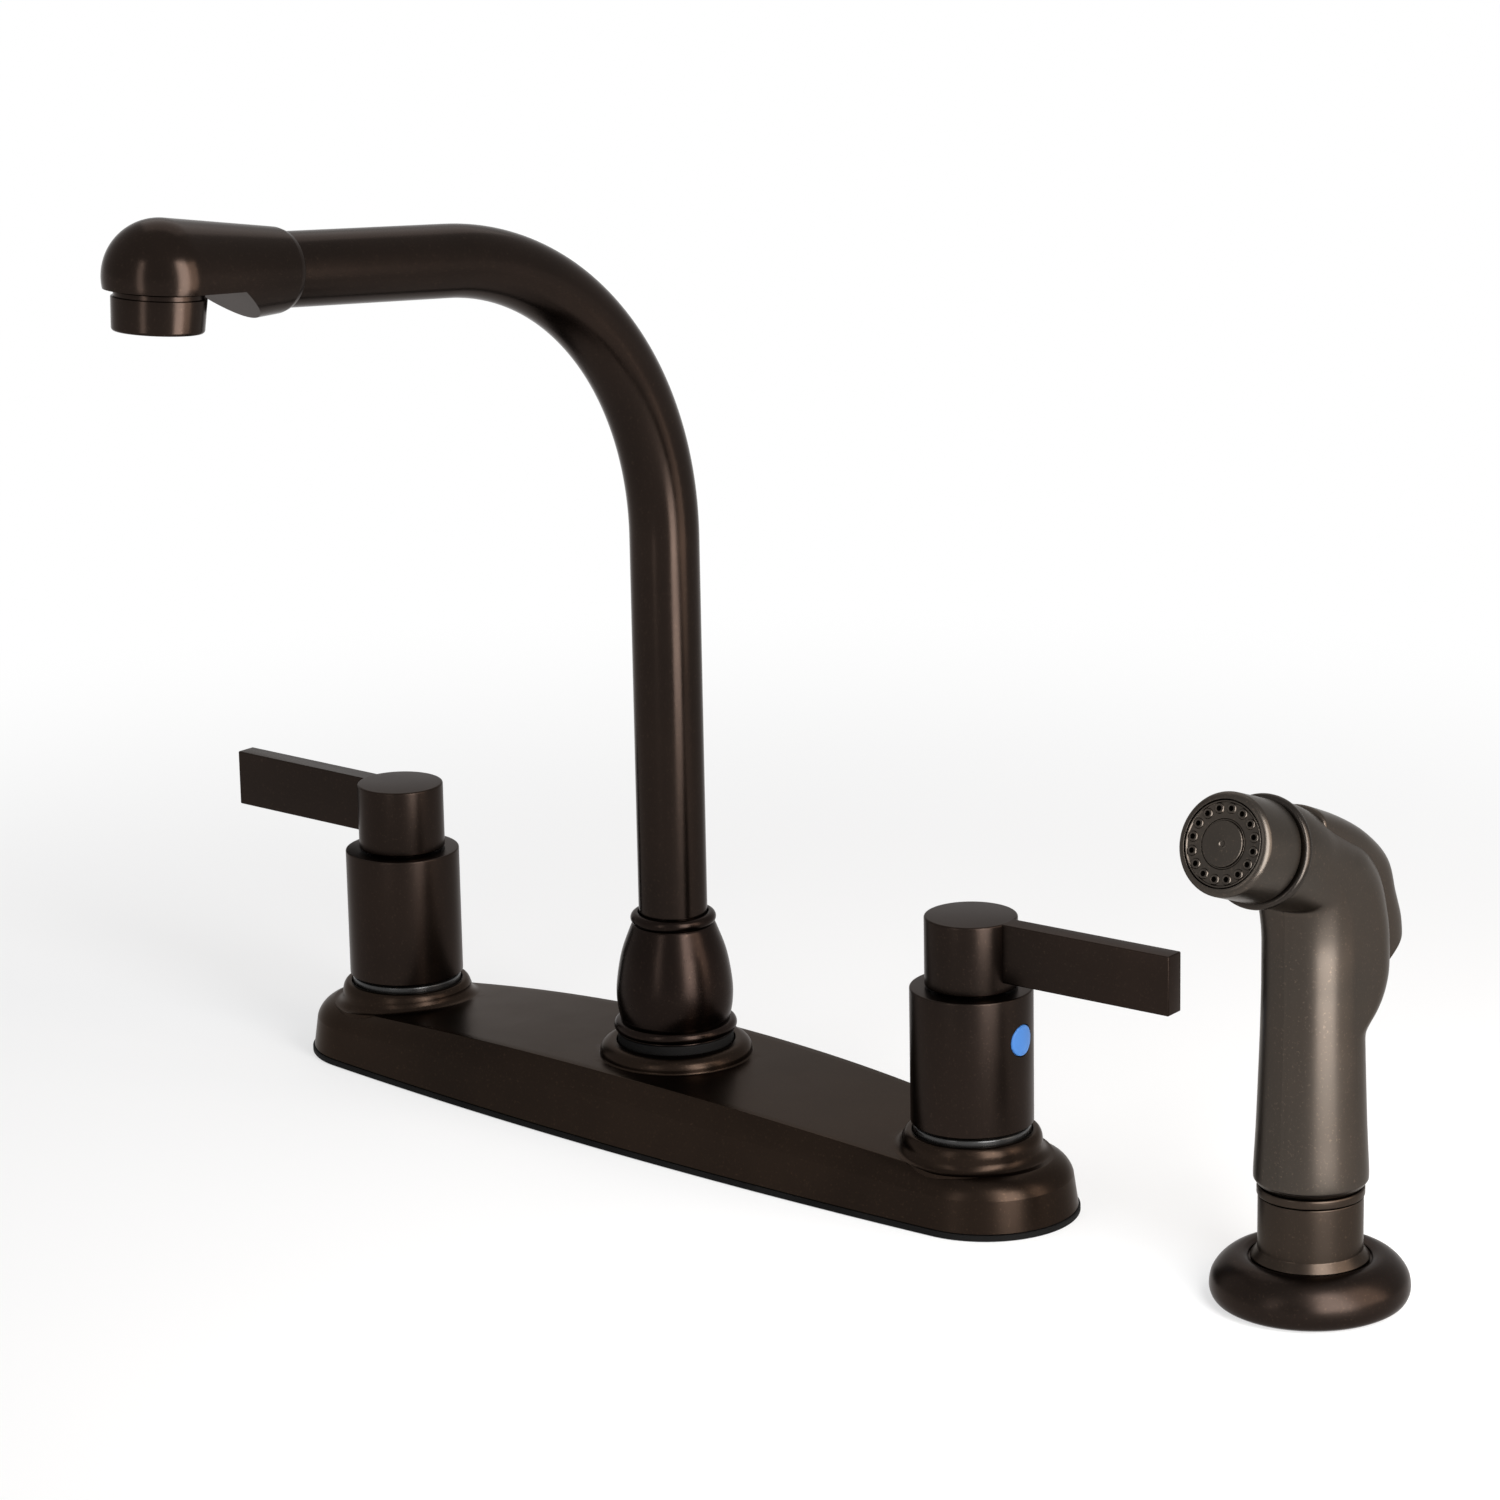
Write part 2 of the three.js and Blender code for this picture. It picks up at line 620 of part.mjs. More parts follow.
// ----------------------------------------------------------------------------------------------------
// Waterway body: two valve bodies with their inlet shanks, cross tubes, spout hub and hose outlet

const SHOULDER = crown(PLATE_END_X) - PLATE_WALL - SHOULDER_GAP; // the plate rests on the valve bodies here
const NECK_TOP = BOSS_FLOOR + SEAT + PLATE_NUT_HEIGHT + NECK_PROUD;
const CROSS_TUBE_HEIGHT = BODY_BASE + CROSS_TUBE_RADIUS;
const HUB_SOCKET_FLOOR = HUB_TOP - HUB_SOCKET_DEPTH;
const HUB_BORE_FLOOR = BODY_BASE + HUB_FLOOR;

function valveBody() {
  const outside = turned(
    [
      [0, -SHANK_DEPTH],
      [SHANK_RADIUS, -SHANK_DEPTH],
      [SHANK_RADIUS, BODY_BASE],
      [VALVE_BODY_RADIUS, BODY_BASE],
      [VALVE_BODY_RADIUS, SHOULDER],
      [NECK_RADIUS, SHOULDER],
      [NECK_RADIUS, NECK_TOP],
      [0, NECK_TOP],
    ],
    PLAIN,
  );
  const guide = CARTRIDGE_RADIUS + SEAT;
  const hollow = turned(
    [
      [0, -SHANK_DEPTH - 1],
      [INLET_BORE, -SHANK_DEPTH - 1],
      [INLET_BORE, CHAMBER_FLOOR],
      [CHAMBER_RADIUS, CHAMBER_FLOOR],
      [CHAMBER_RADIUS, NECK_TOP - GUIDE_LAND - 1],
      [guide, NECK_TOP - GUIDE_LAND],
      [guide, NECK_TOP + 1],
      [0, NECK_TOP + 1],
    ],
    PLAIN,
  );
  return { outside, hollow };
}

function spoutHub() {
  const outside = join(
    rod(NECK_RADIUS, BODY_BASE, HUB_TOP, PLAIN),
    rod(NIPPLE_RADIUS, -NIPPLE_DEPTH, BODY_BASE + 1, PLAIN),
  );
  const hollow = turned(
    [
      [0, -NIPPLE_DEPTH - 1],
      [NIPPLE_BORE, -NIPPLE_DEPTH - 1],
      [NIPPLE_BORE, HUB_BORE_FLOOR],
      [HUB_BORE, HUB_BORE_FLOOR],
      [HUB_BORE, HUB_SOCKET_FLOOR],
      [HUB_SOCKET_RADIUS, HUB_SOCKET_FLOOR],
      [HUB_SOCKET_RADIUS, HUB_TOP + 1],
      [0, HUB_TOP + 1],
    ],
    PLAIN,
  );
  return { outside, hollow };
}

// A round bar along X at the height of the cross tubes.
function crossBar(radius, sides) {
  const half = HANDLE_X - CHAMBER_RADIUS + CROSS_TUBE_ENTRY;
  return rod(radius, -half, half, sides).rotate([0, 90, 0]).translate([0, 0, CROSS_TUBE_HEIGHT]);
}

function waterwayBody() {
  const valve = valveBody();
  const hub = spoutHub();
  const sides = [-HANDLE_X, HANDLE_X];
  const outside = join(hub.outside, crossBar(CROSS_TUBE_RADIUS, PLAIN));
  const bodies = sides.map((x) => valve.outside.translate([x, 0, 0]));
  const hollows = sides.map((x) => valve.hollow.translate([x, 0, 0]));
  return cut(join(outside, ...bodies), hub.hollow, crossBar(CROSS_TUBE_BORE, SMALL), ...hollows);
}

// ----------------------------------------------------------------------------------------------------
// One handle with its sleeve and cartridge, about its own axis, with the lever towards +X

const SLEEVE_LOW = BOSS_FLOOR + SEAT + PLATE_NUT_HEIGHT + SEAT;
const SLEEVE_TOP = SLEEVE_LOW + SLEEVE_HEIGHT;
const SLEEVE_BORE = SLEEVE_RADIUS - SLEEVE_WALL;
const CARTRIDGE_BORE = DISC_RADIUS + SEAT;
const SEAL_LOW = CHAMBER_FLOOR + SEAT;
const LOWER_DISC = SEAL_LOW + SEAL_HEIGHT + SEAT;
const UPPER_DISC = LOWER_DISC + DISC_THICKNESS + DISC_PLAY;
const DRIVE = UPPER_DISC + DISC_THICKNESS + SEAT;
const CARTRIDGE_ROOF = DRIVE + DRIVE_THICKNESS + SEAT;
const CARTRIDGE_LOW = LOWER_DISC - CARTRIDGE_SKIRT;
const HEX_LOW = NECK_TOP + SEAT;
const HEX_TOP = HEX_LOW + HEX_HEIGHT;
const HUB_LOW = SLEEVE_TOP + HANDLE_GAP;
const HANDLE_TOP = HUB_LOW + HUB_HEIGHT;
const SKIRT_LOW = HUB_LOW - SKIRT_DEPTH;
const SOCKET_TOP = HANDLE_TOP - SOCKET_CROWN;
const STEM_TOP = SOCKET_TOP - STEM_GAP;
const STEM_STEP = STEM_TOP - SPLINE_LENGTH;
const STEM_BORE = STEM_RADIUS + SEAT;
const SCREW_HEIGHT = HANDLE_TOP - SCREW_DROP;

// A quarter-turn disc has two ports, opposite each other along the given direction.
function discPorts(direction) {
  const half = PORT_HALF_ANGLE;
  const port = [...arc(0, 0, PORT_OUTER, -half, half, 6), ...arc(0, 0, PORT_INNER, half, -half, 3)];
  const tool = prism(port, LOWER_DISC - 1, DRIVE);
  return [direction, direction + 180].map((angle) => tool.rotate([0, 0, angle]));
}

function lowerDisc() {
  const top = LOWER_DISC + DISC_THICKNESS;
  const halfKey = DISC_KEY_WIDTH / 2;
  const key = box([-CARTRIDGE_RADIUS + SEAT, 0], [-halfKey, halfKey], [LOWER_DISC, top]);
  return cut(join(rod(DISC_RADIUS, LOWER_DISC, top), key), ...discPorts(0));
}

function upperDisc() {
  const top = UPPER_DISC + DISC_THICKNESS;
  const [length, width, depth] = DRIVE_TANG;
  const [halfLength, halfWidth] = [length / 2 + SEAT, width / 2 + SEAT];
  const slot = box([-halfLength, halfLength], [-halfWidth, halfWidth], [top - depth, top + 1]);
  return cut(rod(DISC_RADIUS, UPPER_DISC, top), slot, ...discPorts(90));
}

function stem() {
  const [length, width, depth] = DRIVE_TANG;
  const turnedPart = turned(
    [
      [0, DRIVE],
      [DISC_RADIUS, DRIVE],
      [DISC_RADIUS, DRIVE + DRIVE_THICKNESS],
      [STEM_RADIUS, DRIVE + DRIVE_THICKNESS],
      [STEM_RADIUS, STEM_STEP],
      [SPLINE_RADIUS, STEM_STEP],
      [SPLINE_RADIUS, STEM_TOP],
      [0, STEM_TOP],
    ],
    PLAIN,
  );
  const tang = box([-length / 2, length / 2], [-width / 2, width / 2], [DRIVE - depth, DRIVE + 1]);
  return join(turnedPart, tang);
}

function cartridgeBody() {
  const outside = join(
    rod(CARTRIDGE_RADIUS, CARTRIDGE_LOW, HEX_LOW + 1),
    rod(HEX_RADIUS, HEX_LOW, HEX_TOP, 6),
    rod(GUIDE_RADIUS, HEX_TOP - 1, HEX_TOP + GUIDE_HEIGHT),
  );
  const hollow = turned(
    [
      [0, CARTRIDGE_LOW - 1],
      [CARTRIDGE_BORE, CARTRIDGE_LOW - 1],
      [CARTRIDGE_BORE, CARTRIDGE_ROOF],
      [STEM_BORE, CARTRIDGE_ROOF],
      [STEM_BORE, HEX_TOP + GUIDE_HEIGHT + 1],
      [0, HEX_TOP + GUIDE_HEIGHT + 1],
    ],
    PLAIN,
  );
  const halfKey = DISC_KEY_WIDTH / 2 + SEAT;
  const keyTop = LOWER_DISC + DISC_THICKNESS + SEAT;
  const keyway = box([-CARTRIDGE_RADIUS - 1, 0], [-halfKey, halfKey], [CARTRIDGE_LOW - 1, keyTop]);
  const windows = box(
    [-PORT_INNER, PORT_INNER],
    [-CARTRIDGE_RADIUS - 1, CARTRIDGE_RADIUS + 1],
    [UPPER_DISC + WINDOW_SILL, CARTRIDGE_ROOF - WINDOW_LINTEL],
  );
  return cut(outside, hollow, keyway, windows);
}

function sleeve() {
  const webLow = HEX_TOP + SEAT;
  const webTop = webLow + SLEEVE_WEB;
  const plateLow = SLEEVE_TOP - SLEEVE_TOP_PLATE;
  const chamfer = SLEEVE_CHAMFER;
  const body = turned([
    [SLEEVE_BORE, SLEEVE_LOW],
    [SLEEVE_RADIUS - chamfer, SLEEVE_LOW],
    [SLEEVE_RADIUS, SLEEVE_LOW + chamfer],
    [SLEEVE_RADIUS, SLEEVE_TOP - chamfer / 2],
    [SLEEVE_RADIUS - chamfer / 2, SLEEVE_TOP],
    [SKIRT_RADIUS + SEAT, SLEEVE_TOP],
    [SKIRT_RADIUS + SEAT, plateLow],
    [SLEEVE_BORE, plateLow],
    [SLEEVE_BORE, webTop],
    [GUIDE_RADIUS + SEAT, webTop],
    [GUIDE_RADIUS + SEAT, webLow],
    [SLEEVE_BORE, webLow],
  ]);
  return body.subtract(buttonRod(BUTTON_RADIUS + BUTTON_CLEARANCE, SEAT));
}

// The round bar that the index button is cut from, pointing out through the sleeve.
function buttonRod(radius, deeper) {
  const start = SLEEVE_RADIUS - BUTTON_DEPTH - deeper;
  const bar = rod(radius, start, SLEEVE_RADIUS + 2).rotate([0, 90, 0]);
  return bar.translate([0, 0, SLEEVE_TOP - BUTTON_DROP]).rotate([0, 0, BUTTON_AZIMUTH]);
}

const indexButton = () =>
  buttonRod(BUTTON_RADIUS, 0).intersect(rod(SLEEVE_RADIUS + BUTTON_PROUD, SLEEVE_LOW, SLEEVE_TOP, FINE * 2));

// Hub and lever are one casting. The set screw's hole is on the side that faces away from the user.
function handle(screwSide) {
  const hub = turned([
    [0, SKIRT_LOW],
    [SKIRT_RADIUS, SKIRT_LOW],
    [SKIRT_RADIUS, HUB_LOW],
    [HUB_RADIUS, HUB_LOW],
    [HUB_RADIUS, HANDLE_TOP - HUB_EDGE],
    [HUB_RADIUS - HUB_EDGE, HANDLE_TOP],
    [0, HANDLE_TOP],
  ]);
  const socket = rod(STEM_BORE, SKIRT_LOW - 1, SOCKET_TOP);
  return cut(join(hub, lever()), socket, screwRod(SCREW_RADIUS + SEAT, 0, HUB_RADIUS + 1, screwSide));
}

function lever() {
  const half = LEVER_THICKNESS / 2;
  const edge = LEVER_EDGE;
  const outlineOfBar = [
    [0, -half],
    [LEVER_REACH - edge, -half],
    [LEVER_REACH, -half + edge],
    [LEVER_REACH, half - edge],
    [LEVER_REACH - edge, half],
    [0, half],
  ];
  const options = {
    depth: LEVER_HEIGHT - 2 * edge,
    bevelSize: edge,
    bevelOffset: -edge,
    bevelThickness: edge,
    bevelSegments: 1,
  };
  const bar = new THREE.ExtrudeGeometry(new THREE.Shape(vectors(outlineOfBar)), options);
  return solid(bar.translate(0, 0, HANDLE_TOP - LEVER_HEIGHT + edge));
}

function screwRod(radius, from, to, side) {
  return rod(radius, from, to, SMALL).rotate([side > 0 ? -90 : 90, 0, 0]).translate([0, 0, SCREW_HEIGHT]);
}

function handleSide(side, x, indexFinish) {
  const turn = x < 0 ? 180 : 0;
  const screwSide = x < 0 ? -1 : 1;
  const screwEnd = HUB_RADIUS - SCREW_SUNK;
  const fixed = [
    piece(`${side}_cartridge_body`, cartridgeBody(), "brass"),
    piece(`${side}_lower_disc`, lowerDisc(), "ceramic"),
    piece(`${side}_seat_seal`, ring(SEAL_BORE, DISC_RADIUS, SEAL_LOW, SEAL_LOW + SEAL_HEIGHT), "rubber"),
    piece(`${side}_plate_nut`, plateNut(), "darkPlastic"),
    piece(`${side}_sleeve`, sleeve(), "bronze"),
    piece(`${side}_index_button`, indexButton(), indexFinish),
  ];
  const moving = [
    piece(`${side}_handle`, handle(screwSide), "bronze"),
    piece(`${side}_stem`, stem(), "brass"),
    piece(`${side}_upper_disc`, upperDisc(), "ceramic"),
    piece(`${side}_set_screw`, screwRod(SCREW_RADIUS, SPLINE_RADIUS + SEAT, screwEnd, screwSide), "steel"),
  ];
  return group([...fixed, group(moving, { turn: [0, 0, LEVER_SWING[side]] })], {
    position: [x, 0, 0],
    turn: [0, 0, turn],
  });
}

function plateNut() {
  const low = BOSS_FLOOR + SEAT;
  return ring(NECK_RADIUS + SEAT, PLATE_NUT_RADIUS, low, low + PLATE_NUT_HEIGHT, FINE);
}

// ----------------------------------------------------------------------------------------------------
// Spout nut and what it holds

const NUT_TOP = NUT_LOW + NUT_HEIGHT;
const FITTING_LOW = HUB_SOCKET_FLOOR + FITTING_END_GAP;
const FITTING_SHOULDER = HUB_TOP + SEAT;
const FITTING_TOP = FITTING_SHOULDER + FITTING_FLANGE;
const BUSHING_LOW = FITTING_TOP + SEAT;
const NUT_CEILING = BUSHING_LOW + BUSHING_HEIGHT + SEAT;

function spoutNut() {
  const bead = NUT_TOP - BEAD_HALF_HEIGHT;
  const ringRound = NUT_RING_HEIGHT / 2;
  const shoulder = NUT_LOW + NUT_RING_HEIGHT;
  const rise = NUT_TOP - 2 * BEAD_HALF_HEIGHT - shoulder;
  const bulb = NUT_BULB.map(([share, inset]) => [NUT_BULB_RADIUS - inset, shoulder + rise * share]);
  const mouth = TUBE_RADIUS + NUT_MOUTH_GAP;
  return turned([
    [NECK_RADIUS + SEAT, NUT_LOW],
    [NUT_RING_RADIUS - NUT_FOOT_INSET, NUT_LOW],
    ...arc(NUT_RING_RADIUS - ringRound, NUT_LOW + ringRound, ringRound, -60, 60, 2),
    ...smooth(bulb, 5),
    ...arc(NUT_BEAD_RADIUS - BEAD_HALF_HEIGHT, bead, BEAD_HALF_HEIGHT, -60, 80, 2),
    [mouth, NUT_TOP],
    [mouth, NUT_CEILING],
    [NECK_RADIUS + SEAT, NUT_CEILING],
  ]);
}

const bushing = () => ring(TUBE_RADIUS + SEAT, NECK_RADIUS, BUSHING_LOW, NUT_CEILING - SEAT, FINE);
const seatWasher = () =>
  ring(NECK_RADIUS + SEAT, WASHER_RADIUS, HUB_BOSS_FLOOR + SEAT, NUT_LOW - SEAT, FINE);

// ----------------------------------------------------------------------------------------------------
// Diverter: it sends water to the hose when the wand's valve is open

const DIVERTER_RADIUS = HUB_BORE - SEAT;
const POPPET_LOW = DIVERTER_LOW + POPPET_START;
const POPPET_TOP = FITTING_LOW - SEAT - POPPET_TRAVEL;
const DIVERTER_TOP = POPPET_TOP - POPPET_HEAD - POPPET_PLAY;

const diverterBody = () => ring(DIVERTER_BORE, DIVERTER_RADIUS, DIVERTER_LOW, DIVERTER_TOP);

function diverterPoppet() {
  const head = POPPET_TOP - POPPET_HEAD;
  const guide = DIVERTER_BORE - POPPET_PLAY;
  return turned(
    [
      [0, POPPET_LOW],
      [guide, POPPET_LOW],
      [guide, head],
      [POPPET_HEAD_RADIUS, head],
      [POPPET_HEAD_RADIUS, POPPET_TOP],
      [0, POPPET_TOP],
    ],
    PLAIN,
  );
}

// ----------------------------------------------------------------------------------------------------
// Spout: tube, end fitting with its O-rings, head and aerator

const TUBE_LOW = FITTING_TOP + SEAT;
const ARM_START = [
  0,
  -BEND_RADIUS * (1 - Math.cos(BEND_ANGLE * DEGREE)),
  BEND_START + BEND_RADIUS * Math.sin(BEND_ANGLE * DEGREE),
];
const TUBE_END = HEAD_SEAM + HEAD_SOCKET - SEAT;
const BEND_STEPS = 10;

// The tube's centre line. It counts stations evenly, so the bend has many and each straight stretch has one.
class SpoutPath extends THREE.Curve {
  getPoint(share) {
    const station = share * (BEND_STEPS + 2);
    if (station < 1) return new THREE.Vector3(0, 0, TUBE_LOW + (BEND_START - TUBE_LOW) * station);
    const along = Math.min(station - 1, BEND_STEPS);
    const angle = (along / BEND_STEPS) * BEND_ANGLE * DEGREE;
    const arm = Math.max(0, station - 1 - BEND_STEPS) * TUBE_END;
    const y = -BEND_RADIUS * (1 - Math.cos(angle)) - arm * Math.sin(angle);
    const z = BEND_START + BEND_RADIUS * Math.sin(angle) + arm * Math.cos(angle);
    return new THREE.Vector3(0, y, z);
  }

  getPointAt(share) {
    return this.getPoint(share);
  }

  getTangentAt(share) {
    const along = Math.min(Math.max(share * (BEND_STEPS + 2) - 1, 0), BEND_STEPS);
    const angle = (along / BEND_STEPS) * BEND_ANGLE * DEGREE;
    return new THREE.Vector3(0, -Math.sin(angle), Math.cos(angle));
  }
}

function spoutTube() {
  const section = new THREE.Shape(vectors(circle(TUBE_RADIUS, FINE)));
  section.holes = [new THREE.Path(vectors(circle(TUBE_BORE, PLAIN)))];
  return solid(new THREE.ExtrudeGeometry(section, { steps: BEND_STEPS + 2, extrudePath: new SpoutPath() }));
}

const GROOVE_FLOOR = FITTING_RADIUS - 2 * ORING_SECTION - ORING_PLAY;
const ORING_HEIGHTS = ORING_STATIONS.map((station) => FITTING_LOW + station);

function endFitting() {
  const grooves = ORING_HEIGHTS.flatMap((z) => [
    [FITTING_RADIUS, z - GROOVE_WIDTH / 2],
    [GROOVE_FLOOR, z - GROOVE_WIDTH / 2],
    [GROOVE_FLOOR, z + GROOVE_WIDTH / 2],
    [FITTING_RADIUS, z + GROOVE_WIDTH / 2],
  ]);
  const spigot = TUBE_BORE - SEAT;
  return turned(
    [
      [FITTING_BORE, FITTING_LOW],
      [FITTING_RADIUS, FITTING_LOW],
      ...grooves,
      [FITTING_RADIUS, FITTING_SHOULDER],
      [FITTING_FLANGE_RADIUS, FITTING_SHOULDER],
      [FITTING_FLANGE_RADIUS, FITTING_TOP],
      [spigot, FITTING_TOP],
      [spigot, FITTING_TOP + FITTING_SPIGOT],
      [FITTING_BORE, FITTING_TOP + FITTING_SPIGOT],
    ],
    PLAIN,
  );
}

function oring(z) {
  const centre = GROOVE_FLOOR + ORING_PLAY + ORING_SECTION;
  return turned(arc(centre, z, ORING_SECTION, 0, 360, TINY).slice(0, -1), PLAIN);
}

// The head is made about the arm's axis, with Z along the arm and Y up across it.
const CONE_START = HEAD_SEAM + HEAD_SHOULDER;
const HEAD_TIP = DOME_STATION + DOME_RADIUS;
const AERATOR_HOLE = AERATOR_THREAD + SEAT;
const HOLE_ROOF = -HEAD_FLAT - SEAT + AERATOR_THREAD_HEIGHT + AERATOR_HOLE_ROOM;

function headForm() {
  const lip = TUBE_RADIUS + HEAD_LIP;
  const dome = arc(DOME_STATION, 0, DOME_RADIUS, 90 + Math.atan(HEAD_SLOPE) / DEGREE, 0, 6);
  return turned([
    [0, HEAD_SEAM],
    [lip, HEAD_SEAM],
    [lip + HEAD_CHAMFER, HEAD_SEAM + HEAD_CHAMFER],
    [HEAD_START_RADIUS - HEAD_SWELL, HEAD_SEAM + HEAD_SHOULDER / 2],
    [HEAD_START_RADIUS, CONE_START],
    ...dome.map(([station, radius]) => [Math.max(0, radius), station]),
  ]);
}

function spoutHead() {
  const notch = DOME_STATION - NOTCH_BACK;
  const drop = DOME_RADIUS + 2;
  const back = notch - (drop - HEAD_FLAT) / Math.tan(NOTCH_SLOPE * DEGREE);
  const below = [
    [-HEAD_FLAT, notch],
    [-HEAD_FLAT, HEAD_TIP + 1],
    [-drop, HEAD_TIP + 1],
    [-drop, back],
  ];
  const socket = rod(TUBE_RADIUS + SEAT, HEAD_SEAM - 1, HEAD_SEAM + HEAD_SOCKET, FINE);
  const bore = rod(HEAD_BORE, HEAD_SEAM, DOME_STATION);
  const upright = rod(AERATOR_HOLE, -DOME_RADIUS, HOLE_ROOF, FINE);
  const hole = upright.rotate([-90, 0, 0]).translate([0, 0, DOME_STATION]);
  return cut(headForm(), crossPrism(below, drop), socket, bore, hole);
}

// The aerator is made about its own axis, with Z up and 0 on the arm's axis.
const COLLAR_TOP = -HEAD_FLAT - SEAT;
const COLLAR_LOW = COLLAR_TOP - AERATOR_COLLAR_HEIGHT;
const AERATOR_LOW = COLLAR_LOW - AERATOR_HEIGHT;
const THREAD_TOP = COLLAR_TOP + AERATOR_THREAD_HEIGHT;
const AERATOR_FLOOR = AERATOR_LOW + AERATOR_LIP_HEIGHT;
const INSERT_RADIUS = AERATOR_BORE - SEAT;
const INSERT_LOW = AERATOR_FLOOR + SEAT + SCREEN_THICKNESS + SEAT;

function aeratorShell() {
  const foot = AERATOR_RADIUS - AERATOR_TAPER;
  return turned([
    [AERATOR_BORE - AERATOR_LIP, AERATOR_LOW],
    ...arc(foot - AERATOR_EDGE, AERATOR_LOW + AERATOR_EDGE, AERATOR_EDGE, -90, 0, 1),
    [AERATOR_RADIUS, COLLAR_LOW],
    [AERATOR_COLLAR, COLLAR_LOW],
    [AERATOR_COLLAR, COLLAR_TOP],
    [AERATOR_THREAD, COLLAR_TOP],
    [AERATOR_THREAD, THREAD_TOP],
    [AERATOR_BORE, THREAD_TOP],
    [AERATOR_BORE, AERATOR_FLOOR],
    [AERATOR_BORE - AERATOR_LIP, AERATOR_FLOOR],
  ]);
}

function aeratorInsert() {
  const top = THREAD_TOP - INSERT_DROP;
  const deck = top - INSERT_DECK;
  const cup = turned(
    [
      [0, deck],
      [INSERT_RADIUS - INSERT_WALL, deck],
      [INSERT_RADIUS - INSERT_WALL, INSERT_LOW],
      [INSERT_RADIUS, INSERT_LOW],
      [INSERT_RADIUS, top],
      [0, top],
    ],
    PLAIN,
  );
  const hole = rod(INSERT_HOLE_RADIUS, deck - 1, top + 1, TINY).translate([INSERT_HOLE_CIRCLE, 0, 0]);
  return cut(cup, ...aroundZ(hole, INSERT_HOLES));
}

// A grid of square openings, as far as the rim.
function aeratorScreen() {
  const low = AERATOR_FLOOR + SEAT;
  const half = SCREEN_HALF_OPENING;
  const reach = INSERT_RADIUS - SCREEN_RIM;
  const openings = [];
  for (let i = -2; i <= 2; i += 1) {
    for (let j = -2; j <= 2; j += 1) {
      const [x, y] = [i * SCREEN_PITCH, j * SCREEN_PITCH];
      if (Math.hypot(Math.abs(x) + half, Math.abs(y) + half) > reach) continue;
      openings.push(box([x - half, x + half], [y - half, y + half], [low - 1, low + 2]));
    }
  }
  return cut(rod(INSERT_RADIUS, low, low + SCREEN_THICKNESS), ...openings);
}

const aeratorWasher = () => ring(WASHER_BORE, AERATOR_THREAD, THREAD_TOP + SEAT, HOLE_ROOF - SEAT);

function spout() {
  const aerator = [
    piece("aerator_shell", aeratorShell(), "bronze"),
    piece("aerator_insert", aeratorInsert(), "plastic"),
    piece("aerator_screen", aeratorScreen(), "steel"),
    piece("aerator_washer", aeratorWasher(), "rubber"),
  ];
  const head = group(
    [
      piece("spout_head", spoutHead(), "bronze"),
      group(aerator, { position: [0, 0, DOME_STATION], turn: [-90, 0, 0] }),
    ],
    { position: ARM_START, turn: [BEND_ANGLE, 0, 0] },
  );
  const pieces = [
    piece("spout_tube", spoutTube(), "bronze"),
    piece("spout_end_fitting", endFitting(), "brass"),
    piece("spout_oring_lower", oring(ORING_HEIGHTS[0]), "rubber"),
    piece("spout_oring_upper", oring(ORING_HEIGHTS[1]), "rubber"),
    head,
  ];
  return group(pieces, { turn: [0, 0, SPOUT_SWING] });
}

// ----------------------------------------------------------------------------------------------------
// Below the deck

const UNDERSIDE = -SINK_DECK - SEAT;

function mountingNut(bore) {
  const top = UNDERSIDE - MOUNTING_WASHER_THICKNESS - SEAT;
  const flangeLow = top - MOUNTING_FLANGE_HEIGHT;
  const hexLow = flangeLow - MOUNTING_HEX_HEIGHT;
  const outside = join(
    rod(MOUNTING_FLANGE_RADIUS, flangeLow, top, PLAIN),
    rod(MOUNTING_HEX_RADIUS, hexLow, flangeLow + 1, 6),
  );
  return outside.subtract(rod(bore, hexLow - 1, top + 1));
}

const mountingWasher = (bore, sides = PLAIN) =>
  ring(bore, MOUNTING_WASHER_RADIUS, UNDERSIDE - MOUNTING_WASHER_THICKNESS, UNDERSIDE, sides);

function underDeck(side, x) {
  const bore = SHANK_RADIUS + SEAT;
  const pieces = [
    piece(`${side}_mounting_washer`, mountingWasher(bore), "steel"),
    piece(`${side}_mounting_nut`, mountingNut(bore), "plastic"),
  ];
  return group(pieces, { position: [x, 0, 0] });
}

// ----------------------------------------------------------------------------------------------------
// Sprayer holder, about its own axis

const LINER_BORE = LINER_RADIUS - LINER_WALL;
const LINER_LIP_LOW = HOLDER_TOP + SEAT;
const LINER_TOP = LINER_LIP_LOW + LINER_LIP_HEIGHT;
const ESCUTCHEON_FLOOR = HOLDER_FOOT_LOW - SEAT;

function escutcheon() {
  const top = ESCUTCHEON_HEIGHT;
  const bore = HOLDER_SHANK_RADIUS + SEAT;
  const web = ESCUTCHEON_FLOOR - ESCUTCHEON_WEB;
  const [footInset, roundInset, roundHeight] = ESCUTCHEON_FOOT;
  const [seat, lip, rim] = ESCUTCHEON_SHOULDER.map((gap) => HOLDER_FOOT_RADIUS + gap);
  const foot = ESCUTCHEON_RADIUS - footInset;
  const dome = ESCUTCHEON_DOME.map(([inset, z]) => [ESCUTCHEON_RADIUS - inset, z]);
  return turned([
    [bore, web],
    [HOLDER_FOOT_RADIUS, web],
    [foot - ESCUTCHEON_RIM, ESCUTCHEON_WEB_INSET],
    [foot - ESCUTCHEON_RIM, 0],
    [foot, 0],
    [ESCUTCHEON_RADIUS - roundInset, roundHeight],
    ...dome,
    [rim, top],
    [lip, top - ESCUTCHEON_LIP_DROP],
    [seat, ESCUTCHEON_FLOOR],
    [bore, ESCUTCHEON_FLOOR],
  ]);
}

